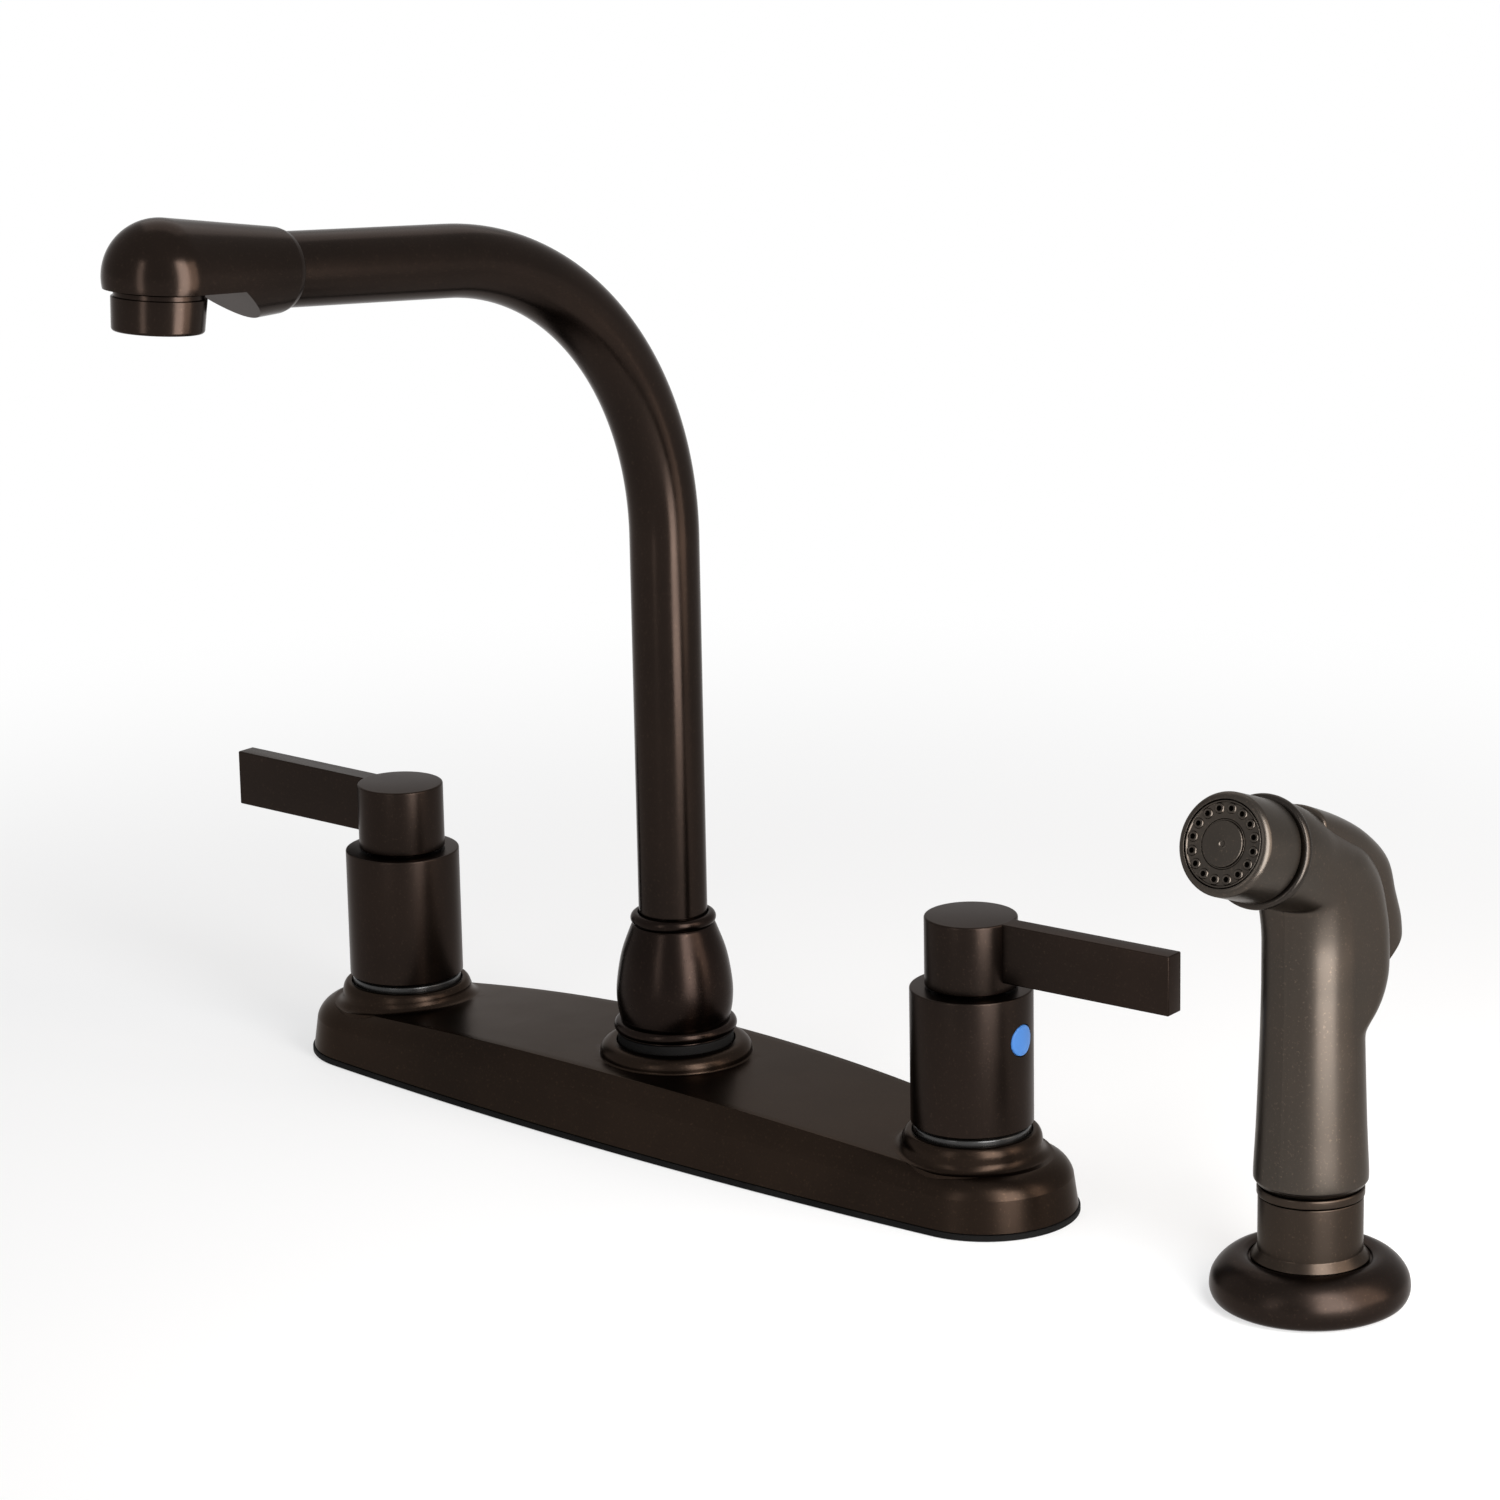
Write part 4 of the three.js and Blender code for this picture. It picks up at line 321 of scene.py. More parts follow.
def spline(points, steps):
    """A smooth curve through points of any size, with the given number of steps between two of them."""
    made = []
    last = len(points) - 1
    for i in range(last):
        a, b, c, d = (points[min(max(i + k, 0), last)] for k in (-1, 0, 1, 2))
        for k in range(steps):
            t = k / steps
            made.append(tuple(
                0.5 * (2 * q + (r - p) * t
                       + (2 * p - 5 * q + 4 * r - s) * t * t
                       + (3 * q - p - 3 * r + s) * t ** 3)
                for p, q, r, s in zip(a, b, c, d)
            ))
    made.append(tuple(points[last]))
    return made


def make(name, verts, faces, place=None, sharp=SHARP):
    """A mesh object from millimetres, its faces pointing out and its edges sharp above an angle."""
    place = place or Matrix()
    mesh = bpy.data.meshes.new(name)
    mesh.from_pydata([(place @ Vector(v)) * MM for v in verts], [], faces)
    bm = bmesh.new()
    bm.from_mesh(mesh)
    bmesh.ops.remove_doubles(bm, verts=bm.verts, dist=WELD)
    bmesh.ops.recalc_face_normals(bm, faces=bm.faces)
    bm.to_mesh(mesh)
    bm.free()
    made = bpy.data.objects.new(name, mesh)
    bpy.context.scene.collection.objects.link(made)
    soften(made, sharp)
    return made


def soften(piece, sharp=SHARP):
    piece.data.shade_smooth()
    piece.data.set_sharp_from_angle(angle=math.radians(sharp))


def lathe(name, profile, place=None, sides=ROUND, sharp=SHARP):
    """A profile of radius and height, turned about Z. It starts and ends on the axis, or closes on itself."""
    verts, rows = [], []
    for radius, height in profile:
        if radius < ON_AXIS:
            rows.append([len(verts)] * sides)
            verts.append((0, 0, height))
            continue
        rows.append(list(range(len(verts), len(verts) + sides)))
        verts += [(x, y, height) for x, y in circle(radius, sides)]
    if profile[0][0] >= ON_AXIS:
        rows.append(rows[0])
    return make(name, verts, bands(rows), place, sharp)


def bands(rows):
    """Faces between rows of vertices. Where a row is one vertex the face is a triangle."""
    faces = []
    count = len(rows[0])
    for low, high in zip(rows, rows[1:]):
        for i in range(count):
            j = (i + 1) % count
            corners = [low[i], low[j], high[j], high[i]]
            face = [v for k, v in enumerate(corners) if v not in corners[:k]]
            if len(face) > 2:
                faces.append(face)
    return faces


def numbered(rings):
    """The numbers that the points get when the rings follow one another."""
    around = len(rings[0])
    return [list(range(k * around, (k + 1) * around)) for k in range(len(rings))]


def skin(name, rings, place=None, closed=False):
    """A surface through rings of points. It closes on itself, or its end rings shrink to the middle."""
    rows = numbered(rings)
    if closed:
        rows.append(rows[0])
    return make(name, [point for ring in rings for point in ring], bands(rows), place)


def loft(name, rings, place, sharp=SHARP):
    """Rings of points joined one after another, with a flat face over each end."""
    rows = numbered(rings)
    faces = bands(rows) + [rows[0][::-1], rows[-1]]
    return make(name, [point for ring in rings for point in ring], faces, place, sharp)


def block(name, low, high, place):
    corners = [(x, y, z) for x in (low[0], high[0]) for y in (low[1], high[1]) for z in (low[2], high[2])]
    faces = [(0, 1, 3, 2), (4, 6, 7, 5), (0, 4, 5, 1), (2, 3, 7, 6), (0, 2, 6, 4), (1, 5, 7, 3)]
    return make(name, corners, faces, place)


def rod(name, radius, low, high, place, sides=ROD_SIDES):
    return lathe(name, [(0, low), (radius, low), (radius, high), (0, high)], place, sides)


def settle(piece):
    """Applies the piece's modifiers to its mesh."""
    bpy.context.view_layer.update()
    shown = piece.evaluated_get(bpy.context.evaluated_depsgraph_get())
    mesh = bpy.data.meshes.new_from_object(shown)
    piece.modifiers.clear()
    piece.data = mesh


def combine(piece, operation, *tools, sharp=SHARP):
    for tool in tools:
        modifier = piece.modifiers.new("combine", "BOOLEAN")
        modifier.operation = operation
        modifier.object = tool
        modifier.solver = "MANIFOLD"
        settle(piece)
        bpy.data.objects.remove(tool)
    soften(piece, sharp)


def bevel(piece, width, segments):
    modifier = piece.modifiers.new("bevel", "BEVEL")
    modifier.width = width * MM
    modifier.segments = segments
    modifier.limit_method = "ANGLE"
    modifier.angle_limit = math.radians(CORNER)
    modifier.use_clamp_overlap = True
    settle(piece)
    soften(piece)


def dress(piece, body, material, slot, *nodes):
    """Gives a piece its body and its material, and hides the CAD nodes that it stands for. The slot is not
    used.
    """
    piece.data.materials.clear()
    piece.data.materials.append(material)
    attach(piece, body)
    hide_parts(*nodes)


# ----------------------------------------------------------------------------
# Materials


NOISE_ROUGHNESS = 0.55
DRIFT_WAVES = 22  # waves to a metre, here and below
CLOUD_WAVES = 60
FLECK_WAVES = 1500
FLECK_SHARE = 0.55
GRAIN_WAVES = 2600
PLAIN_DRIFT_WAVES = 45
PLAIN_CLOUD_WAVES = 140


class Nodes:
    """A material's node tree, written one node at a time."""

    def __init__(self, name):
        self.material = bpy.data.materials.new(name)
        self.material.use_nodes = True
        self.tree = self.material.node_tree
        self.tree.nodes.clear()
        self.shader = self.add("ShaderNodeBsdfPrincipled")
        output = self.add("ShaderNodeOutputMaterial")
        self.link(self.shader.outputs["BSDF"], output.inputs["Surface"])
        self.place = self.add("ShaderNodeTexCoord").outputs["Object"]

    def add(self, kind, **values):
        node = self.tree.nodes.new(kind)
        for key, value in values.items():
            setattr(node, key, value)
        return node

    def link(self, source, target):
        self.tree.links.new(source, target)

    def noise(self, waves, detail):
        node = self.add("ShaderNodeTexNoise")
        node.inputs["Scale"].default_value = waves
        node.inputs["Detail"].default_value = detail
        node.inputs["Roughness"].default_value = NOISE_ROUGHNESS
        self.link(self.place, node.inputs["Vector"])
        return node.outputs["Fac"]

    def span(self, source, low, high, start=0.3, end=0.7):
        """A value carried from one range to another."""
        node = self.add("ShaderNodeMapRange")
        for key, value in (("From Min", start), ("From Max", end), ("To Min", low), ("To Max", high)):
            node.inputs[key].default_value = value
        self.link(source, node.inputs["Value"])
        return node.outputs["Result"]

    def blend(self, factor, first, second):
        node = self.add("ShaderNodeMix", data_type="RGBA")
        self.link(factor, node.inputs["Factor"])
        for value, socket in ((first, node.inputs["A"]), (second, node.inputs["B"])):
            if isinstance(value, tuple):
                socket.default_value = (*value, 1)
            else:
                self.link(value, socket)
        return node.outputs["Result"]

    def bump(self, height, strength, distance):
        node = self.add("ShaderNodeBump")
        node.inputs["Strength"].default_value = strength
        node.inputs["Distance"].default_value = distance
        self.link(height, node.inputs["Height"])
        return node.outputs["Normal"]

    def set(self, **values):
        for key, value in values.items():
            self.shader.inputs[key.replace("_", " ")].default_value = value


def bronze(name, dark, warm, fleck, edge, roughness):
    """A dark bronze finish: brown that drifts to a warmer brown, fine flecks, and a satin surface."""
    nodes = Nodes(name)
    drift = nodes.span(nodes.noise(DRIFT_WAVES, 4), 0, 1, 0.35, 0.68)
    colour = nodes.blend(drift, dark, warm)
    flecks = nodes.span(nodes.noise(FLECK_WAVES, 2), 0, FLECK_SHARE, 0.6, 0.78)
    colour = nodes.blend(flecks, colour, fleck)
    nodes.link(colour, nodes.shader.inputs["Base Color"])
    rough = nodes.span(nodes.noise(CLOUD_WAVES, 5), roughness - 0.02, roughness + 0.03)
    nodes.link(rough, nodes.shader.inputs["Roughness"])
    nodes.link(nodes.bump(nodes.noise(GRAIN_WAVES, 3), 0.14, 0.00004), nodes.shader.inputs["Normal"])
    nodes.set(Metallic=1.0, Specular_Tint=(*edge, 1))
    return nodes.material


def plain(name, colour, other, roughness, metallic=0.0, grain=900, depth=0.00005, shine=0.5):
    """A moulded or machined finish with a slight drift of colour and a fine grain."""
    nodes = Nodes(name)
    drift = nodes.span(nodes.noise(PLAIN_DRIFT_WAVES, 3), 0, 1)
    nodes.link(nodes.blend(drift, colour, other), nodes.shader.inputs["Base Color"])
    rough = nodes.span(nodes.noise(PLAIN_CLOUD_WAVES, 3), roughness - 0.05, roughness + 0.06)
    nodes.link(rough, nodes.shader.inputs["Roughness"])
    nodes.link(nodes.bump(nodes.noise(grain, 3), 0.25, depth), nodes.shader.inputs["Normal"])
    nodes.set(Metallic=metallic, Specular_IOR_Level=shine)
    return nodes.material


# Each bronze: its dark and its warm brown, its flecks, and how it reflects at a grazing angle.
DARK_BROWNS = ((0.0175, 0.0127, 0.0105), (0.0225, 0.0155, 0.0124), (0.045, 0.031, 0.023), (0.68, 0.66, 0.65))
BRONZE = bronze("dark_bronze", *DARK_BROWNS, 0.21)
HANDLE_BRONZE = bronze("handle_bronze", *DARK_BROWNS, 0.3)
# The spout nut's bronze is the same finish written darker: painted shade for the dark deck plate that the nut
# mirrors.
NUT_BRONZE_PAINTED_SHADE = bronze("nut_bronze_painted_shade", (0.0125, 0.0088, 0.0074), (0.0165, 0.011, 0.009), (0.04, 0.027, 0.02),
                    (0.68, 0.66, 0.65), 0.26)
PLATE_BRONZE = bronze("plate_bronze", (0.0152, 0.0104, 0.0079), (0.021, 0.0139, 0.0101), (0.05, 0.032, 0.021),
                      (0.66, 0.63, 0.61), 0.3)
HOLDER_BRONZE = bronze("holder_bronze", (0.031, 0.0235, 0.0185), (0.038, 0.0275, 0.021), (0.07, 0.05, 0.036),
                       (0.68, 0.66, 0.64), 0.3)
SPRAY_BRONZE = bronze("spray_bronze", (0.048, 0.0415, 0.0355), (0.056, 0.045, 0.037), (0.12, 0.09, 0.07),
                      (0.7, 0.68, 0.66), 0.31)
RING_BRONZE = bronze("ring_bronze", (0.03, 0.026, 0.023), (0.037, 0.03, 0.025), (0.07, 0.055, 0.045),
                     (0.68, 0.66, 0.64), 0.28)
BRASS = plain("brass", (0.5, 0.3, 0.09), (0.42, 0.25, 0.08), 0.32, 1.0, 600)
STEEL = plain("steel", (0.5, 0.51, 0.52), (0.42, 0.43, 0.45), 0.3, 1.0, 800)
# Black rubber, written darker still than black rubber is: painted shade for the shadowed gap under the spout
# nut.
BLACK_RUBBER_AND_PAINTED_SHADE = plain("rubber", (0.0035, 0.0033, 0.0032), (0.007, 0.0066, 0.0064), 0.62, 0.0, 1400, shine=0.05)
WHITE_PLASTIC = plain("white_plastic", (0.72, 0.72, 0.68), (0.66, 0.66, 0.62), 0.45)
DARK_PLASTIC = plain("dark_plastic", (0.004, 0.0036, 0.0034), (0.006, 0.0054, 0.005), 0.42, shine=0.06)
RING_PLASTIC = plain("ring_plastic", (0.004, 0.0038, 0.0036), (0.006, 0.0056, 0.0053), 0.28, depth=0.00001)
CERAMIC = plain("ceramic", (0.8, 0.77, 0.7), (0.75, 0.72, 0.66), 0.2)
COLD_BLUE = plain("cold_blue", (0.03, 0.11, 0.3), (0.035, 0.12, 0.33), 0.4, 0.0, 700, shine=0.2)
HOT_RED = plain("hot_red", (0.36, 0.016, 0.011), (0.4, 0.02, 0.014), 0.4, 0.0, 700, shine=0.2)

SLOT_MATERIALS = {
    "bronze": BRONZE,
    "plate_bronze": PLATE_BRONZE,
    "spray_bronze": SPRAY_BRONZE,
    "brass": BRASS,
    "steel": STEEL,
    "rubber": BLACK_RUBBER_AND_PAINTED_SHADE,
    "white_plastic": WHITE_PLASTIC,
    "dark_plastic": DARK_PLASTIC,
    "ceramic": CERAMIC,
    "cold_blue": COLD_BLUE,
    "hot_red": HOT_RED,
}

# The CAD solids that stay in sight keep their shapes and take these materials.
for entry in frame["record"]["subparts"]:
    mesh = frame["nodes"][entry["node"]].data
    mesh.materials.clear()
    mesh.materials.append(SLOT_MATERIALS[entry["material_slot"]])

# ----------------------------------------------------------------------------
# Deck plate and gasket

SIDE_BULGE = PLATE_HALF_WIDTH - PLATE_END_RADIUS
SIDE_CENTRE = (PLATE_END_X ** 2 - SIDE_BULGE ** 2) / (2 * SIDE_BULGE)
SIDE_RADIUS = SIDE_CENTRE + PLATE_HALF_WIDTH
SIDE_ANGLE = math.degrees(math.atan2(PLATE_END_X, SIDE_CENTRE))
GASKET_SEAT = GASKET_THICKNESS + SEAT


def crown(x):
    return PLATE_TOP - min(abs(x), PLATE_END_X) ** 2 / (2 * PLATE_CROWN_RADIUS)


def stations():
    """Points round the outline: the side that each lies on, its arc's centre and radius, and the way out."""
    made = []
    for side in (1, -1):
        for out in turn_arc((0, 0), 1, SIDE_ANGLE - 90, 90 - SIDE_ANGLE, 48)[:-1]:
            made.append((side, (PLATE_END_X, 0), PLATE_END_RADIUS, out))
        for out in turn_arc((0, 0), 1, 90 - SIDE_ANGLE, 90 + SIDE_ANGLE, 72)[:-1]:
            made.append((side, (0, -SIDE_CENTRE), SIDE_RADIUS, out))
    return made


def inside(station, inset):
    side, centre, radius, out = station
    reach = radius - inset
    return side * (centre[0] + reach * out[0]), side * (centre[1] + reach * out[1])


def plate_section(share, top_here, top_middle):
    """Inset and height, up the wall and over the bevel to the top's edge."""
    wall = (PLATE_DRAFT, PLATE_WALL_LINE - PLATE_WALL_LINE_DROP * share - (PLATE_TOP - top_middle))
    edge = (PLATE_BEVEL + PLATE_BEVEL_LINEAR * share + PLATE_BEVEL_END * share ** 4, top_here)
    control = [(low + high) / 2 + swell * share ** 2 for low, high, swell in zip(wall, edge, PLATE_SWELL)]
    made = []
    for k in range(PLATE_SWELL_STEPS + 1):
        t = k / PLATE_SWELL_STEPS
        mixed = zip(wall, control, edge)
        made.append(tuple((1 - t) ** 2 * a + 2 * t * (1 - t) * b + t * t * c for a, b, c in mixed))
    return made


def plate_form(name, shrink, foot):
    """The plate's outside, or the hollow inside it, which is smaller all round by shrink."""
    rims = []
    for station in stations():
        x, _ = inside(station, 0)
        spine = math.copysign(min(abs(x), PLATE_END_X), x)
        here, middle = crown(x) - shrink, PLATE_TOP - shrink
        section = plate_section(abs(spine) / PLATE_END_X, here, middle)
        flat = (14, here)
        profile = rounded([(0, foot), (*section[0], 1.2), *section[1:-1], (*section[-1], 0.9), flat], steps=4)
        column = [(*inside(station, PLATE_INSET + shrink + inset), z) for inset, z in profile[:-1]]
        edge = Vector(column[-1])
        ridge = Vector((spine, 0, here))
        column += [tuple(edge.lerp(ridge, k / PLATE_TOP_STEPS)) for k in range(1, PLATE_TOP_STEPS + 1)]
        rims.append([(spine, 0, foot)] + column)
    return skin(name, [[rim[level] for rim in rims] for level in range(len(rims[0]))])


BOSS_TOP = crown(HANDLE_X) + BOSS_RISE
BOSS_FLOOR = BOSS_TOP - BOSS_RECESS
HUB_BOSS_TOP = PLATE_TOP + HUB_BOSS_RISE
HUB_BOSS_FLOOR = HUB_BOSS_TOP - HUB_BOSS_RECESS
PLATE_NUT_RADIUS = NECK_RADIUS + SEAT + PLATE_NUT_WIDTH


def boss(x, radius, cove, lip, top, recess):
    """A boss with a recess, whose side flares out to a cove that runs out on the crowned plate all round."""
    foot = radius + cove
    around = circle(1, ROUND)
    ground = [crown(x + foot * cosine) - BOSS_COVE_SUNK for cosine, _ in around]
    rows = [[(reach, crown(x) - BOSS_SUNK)] * ROUND for reach in (0, foot)]
    for out, up in turn_arc((0, 0), 1, 0, 90, 8):
        rows.append([(foot - cove * up, z + cove * (1 - out)) for z in ground])
    crest = lip + BOSS_LIP
    flare = turn_arc((0, 0), 1, 0, BOSS_FLARE_TURN, 12)
    profile = rounded([
        *[(crest + (radius - crest) * out, top + BOSS_FLARE_DEPTH * (up - 1)) for out, up in flare],
        (lip, top, 0.4),
        (lip, top - recess),
        (0, top - recess),
    ])
    rows += [[point] * ROUND for point in profile]
    return skin("boss", [
        [(x + r * cosine, r * sine, z) for (cosine, sine), (r, z) in zip(around, row)] for row in rows
    ])


def deck_plate():
    plate = plate_form("deck_plate_casting", 0, GASKET_SEAT)
    combine(plate, "DIFFERENCE", plate_form("hollow", PLATE_WALL, GASKET_SEAT - PAST))
    hub = boss(0, HUB_BOSS_RADIUS, HUB_BOSS_COVE, WASHER_RADIUS + SEAT, HUB_BOSS_TOP, HUB_BOSS_RECESS)
    at_handles = [
        boss(x, BOSS_RADIUS, BOSS_COVE, PLATE_NUT_RADIUS + SEAT, BOSS_TOP, BOSS_RECESS)
        for x in (-HANDLE_X, HANDLE_X)
    ]
    combine(plate, "UNION", hub, *at_handles)
    holes = [
        rod("hole", NECK_RADIUS + SEAT, 0, HUB_BOSS_TOP + PAST, shift(x, 0, 0))
        for x in (-HANDLE_X, 0, HANDLE_X)
    ]
    combine(plate, "DIFFERENCE", *holes, sharp=24)
    dress(plate, "base", PLATE_BRONZE, "plate_bronze", "deck_plate")


def gasket():
    profile = (
        (0.15, 0),
        (0, 0.2),
        (0, GASKET_THICKNESS - 0.25),
        (0.25, GASKET_THICKNESS),
        (GASKET_RIM, GASKET_THICKNESS),
        (GASKET_RIM, 0),
    )
    rings = [[(*inside(station, inset), z) for station in stations()] for inset, z in profile]
    piece = skin("deck_gasket", rings, closed=True)
    dress(piece, "base", BLACK_RUBBER_AND_PAINTED_SHADE, "rubber", "base_gasket")


deck_plate()
gasket()

# ----------------------------------------------------------------------------
# Handles, sleeves and index buttons

SLEEVE_LOW = BOSS_FLOOR + SEAT + PLATE_NUT_HEIGHT + SEAT
SLEEVE_TOP = SLEEVE_LOW + SLEEVE_HEIGHT
SLEEVE_BORE = SLEEVE_RADIUS - SLEEVE_WALL
HUB_LOW = SLEEVE_TOP + HANDLE_GAP
HANDLE_TOP = HUB_LOW + HUB_HEIGHT
SKIRT_LOW = HUB_LOW - SKIRT_DEPTH
SOCKET_TOP = HANDLE_TOP - SOCKET_CROWN
SCREW_HEIGHT = HANDLE_TOP - SCREW_DROP


def sleeve(side, place):
    piece = lathe(f"{side}_sleeve_tube", rounded([
        (SLEEVE_BORE, SLEEVE_LOW, 0.2),
        (SLEEVE_RADIUS - SLEEVE_CHAMFER, SLEEVE_LOW, 0.15),
        (SLEEVE_RADIUS, SLEEVE_LOW + SLEEVE_CHAMFER, 0.15),
        (SLEEVE_RADIUS, SLEEVE_TOP, 0.42),
        (SKIRT_RADIUS + SEAT, SLEEVE_TOP, 0.3),
        (SKIRT_RADIUS + SEAT, SLEEVE_TOP - SLEEVE_TOP_PLATE),
        (SLEEVE_BORE, SLEEVE_TOP - SLEEVE_TOP_PLATE),
    ], True), place)
    turned = place @ rotation("Z", BUTTON_AZIMUTH) @ shift(0, 0, SLEEVE_TOP - BUTTON_DROP)
    low, high = SLEEVE_RADIUS - BUTTON_DEPTH - SEAT, SLEEVE_RADIUS + 2 * PAST
    hole = rod("hole", BUTTON_RADIUS + BUTTON_GAP, low, high, turned @ rotation("Y", 90), BUTTON_SIDES)
    combine(piece, "DIFFERENCE", hole)
    dress(piece, "base", HANDLE_BRONZE, "bronze", f"{side}_sleeve")


def index_button(side, place, material, slot):
    """A round button whose face follows the sleeve's, slightly proud of it, with a rounded rim."""
    back = SLEEVE_RADIUS - BUTTON_DEPTH
    face = SLEEVE_RADIUS + BUTTON_PROUD
    turned = place @ rotation("Z", BUTTON_AZIMUTH) @ shift(0, 0, SLEEVE_TOP - BUTTON_DROP)
    rings = [[(back, y, z) for y, z in circle(radius, BUTTON_SIDES)] for radius in (0, BUTTON_RADIUS)]
    rim = turn_arc((BUTTON_RIM, -BUTTON_RIM), BUTTON_RIM, 180, 90, 4)
    levels = [(drop, BUTTON_RADIUS - inset) for inset, drop in rim]
    levels += [(0, radius) for radius in (3.2, 2.6, 1.9, 1.2, 0.6, 0)]
    for drop, radius in levels:
        rise = drop + BUTTON_DOME * (1 - (radius / BUTTON_RADIUS) ** 2)
        rings.append([(math.sqrt(face ** 2 - y ** 2) + rise, y, z) for y, z in circle(radius, BUTTON_SIDES)])
    piece = skin(f"{side}_index_dot", rings, turned)
    dress(piece, "base", material, slot, f"{side}_index_button")


def handle(side, place, screw_turn):
    piece = lathe(f"{side}_lever_handle", rounded([
        (0, SKIRT_LOW),
        (SKIRT_RADIUS, SKIRT_LOW),
        (SKIRT_RADIUS, HUB_LOW),
        (HUB_RADIUS, HUB_LOW, 0.35),
        (HUB_RADIUS, HANDLE_TOP, 0.55),
        (0, HANDLE_TOP),
    ]), place)
    half = LEVER_THICKNESS / 2
    low, high = HANDLE_TOP - LEVER_HEIGHT, HANDLE_TOP - LEVER_SUNK
    bar = block("bar", (0, -half, low), (LEVER_REACH, half, high), place)
    bevel(bar, LEVER_EDGE, 4)
    combine(piece, "UNION", bar)
    socket = rod("socket", STEM_BORE, SKIRT_LOW - PAST, SOCKET_TOP, place)
    across = place @ shift(0, 0, SCREW_HEIGHT) @ rotation("X", screw_turn)
    screw = rod("screw", SCREW_RADIUS + SEAT, 0, HUB_RADIUS + PAST, across, SMALL)
    combine(piece, "DIFFERENCE", socket, screw)
    dress(piece, f"{side}_lever", HANDLE_BRONZE, "bronze", f"{side}_handle")


def plate_nut(side, place):
    low = BOSS_FLOOR + SEAT
    piece = lathe(f"{side}_black_ring", rounded([
        (NECK_RADIUS + SEAT, low),
        (PLATE_NUT_RADIUS, low, 0.2),
        (PLATE_NUT_RADIUS, low + PLATE_NUT_HEIGHT, 0.5),
        (NECK_RADIUS + SEAT, low + PLATE_NUT_HEIGHT),
    ], True), place)
    dress(piece, "base", RING_PLASTIC, "dark_plastic", f"{side}_plate_nut")


for side, x, facing, screw_turn, dot, slot in (
    ("hot", -HANDLE_X, 180, 90, HOT_RED, "hot_red"),
    ("cold", HANDLE_X, 0, -90, COLD_BLUE, "cold_blue"),
):
    place = shift(x, 0, 0) @ rotation("Z", facing)
    plate_nut(side, place)
    sleeve(side, place)
    index_button(side, place, dot, slot)
    handle(side, place @ rotation("Z", LEVER_SWING[side]), screw_turn)

# ----------------------------------------------------------------------------
# Spout with its nut

NUT_TOP = NUT_LOW + NUT_HEIGHT
NUT_CEILING = TUBE_LOW + 3


def spout_nut():
    shoulder = NUT_LOW + NUT_RING_HEIGHT
    bead = NUT_TOP - BEAD_HALF_HEIGHT
    bulb = spline([
        (NUT_BULB_RADIUS - 0.9, shoulder),
        (NUT_BULB_RADIUS - 0.1, shoulder + 4.5),
        (NUT_BULB_RADIUS - 0.1, shoulder + 10),
        (NUT_BULB_RADIUS - 1.46, shoulder + 18),
        (NUT_BEAD_RADIUS + 0.25, NUT_TOP - 4.6),
        (NUT_BEAD_RADIUS - 0.45, NUT_TOP - 3.2),
    ], 12)
    ring = NUT_RING_HEIGHT / 2
    bore = TUBE_RADIUS + SEAT + 0.2
    piece = lathe("spout_bulb_nut", [
        (NECK_RADIUS + SEAT, NUT_LOW),
        (NUT_RING_RADIUS - 1, NUT_LOW),
        *turn_arc((NUT_RING_RADIUS - ring, NUT_LOW + ring), ring, -68, 68, 14),
        *bulb,
        *turn_arc((NUT_BEAD_RADIUS - BEAD_HALF_HEIGHT, bead), BEAD_HALF_HEIGHT, -60, 100, 18),
        (bore, NUT_TOP - 0.4),
        (bore, NUT_CEILING),
        (NECK_RADIUS + SEAT, NUT_CEILING),
    ])
    # The nut takes the darker bronze, whose colour carries painted shade.
    dress(piece, "base", NUT_BRONZE_PAINTED_SHADE, "bronze", "spout_nut")


def seat_washer():
    low, high = HUB_BOSS_FLOOR + SEAT, NUT_LOW - SEAT
    piece = lathe("spout_black_washer", rounded([
        (NECK_RADIUS + SEAT, low),
        (WASHER_RADIUS, low, 0.2),
        (WASHER_RADIUS, high, 0.4),
        (NECK_RADIUS + SEAT, high),
    ], True))
    dress(piece, "base", BLACK_RUBBER_AND_PAINTED_SHADE, "rubber", "spout_seat_washer")


SPOUT = rotation("Z", SPOUT_SWING)
ARM_START = (
    0,
    -BEND_RADIUS * (1 - math.cos(math.radians(BEND_ANGLE))),
    BEND_START + BEND_RADIUS * math.sin(math.radians(BEND_ANGLE)),
)
HEAD = SPOUT @ shift(*ARM_START) @ rotation("X", BEND_ANGLE)
TUBE_END = HEAD_SEAM + HEAD_SOCKET - SEAT


def spout_tube():
    """Rings along a line that rises, bends and runs on, up the outside and back down the bore."""
    line = [((0, 0, z), 0) for z in (TUBE_LOW, *TUBE_RINGS)]
    for k in range(BEND_STEPS + 1):
        angle = math.radians(BEND_ANGLE * k / BEND_STEPS)
        point = (0, -BEND_RADIUS * (1 - math.cos(angle)), BEND_START + BEND_RADIUS * math.sin(angle))
        line.append((point, angle))
    angle = math.radians(BEND_ANGLE)
    for reach in (HEAD_SEAM / 2, TUBE_END):
        point = Vector(ARM_START) + reach * Vector((0, -math.sin(angle), math.cos(angle)))
        line.append((tuple(point), angle))
    rings = [
        [(x, y + up * math.cos(angle), z + up * math.sin(angle)) for x, up in circle(radius, ROUND)]
        for radius, run in ((TUBE_RADIUS, line), (TUBE_BORE, line[::-1]))
        for (_, y, z), angle in run
    ]
    piece = skin("spout_gooseneck", rings, SPOUT, True)
    dress(piece, "spout", BRONZE, "bronze", "spout_tube")


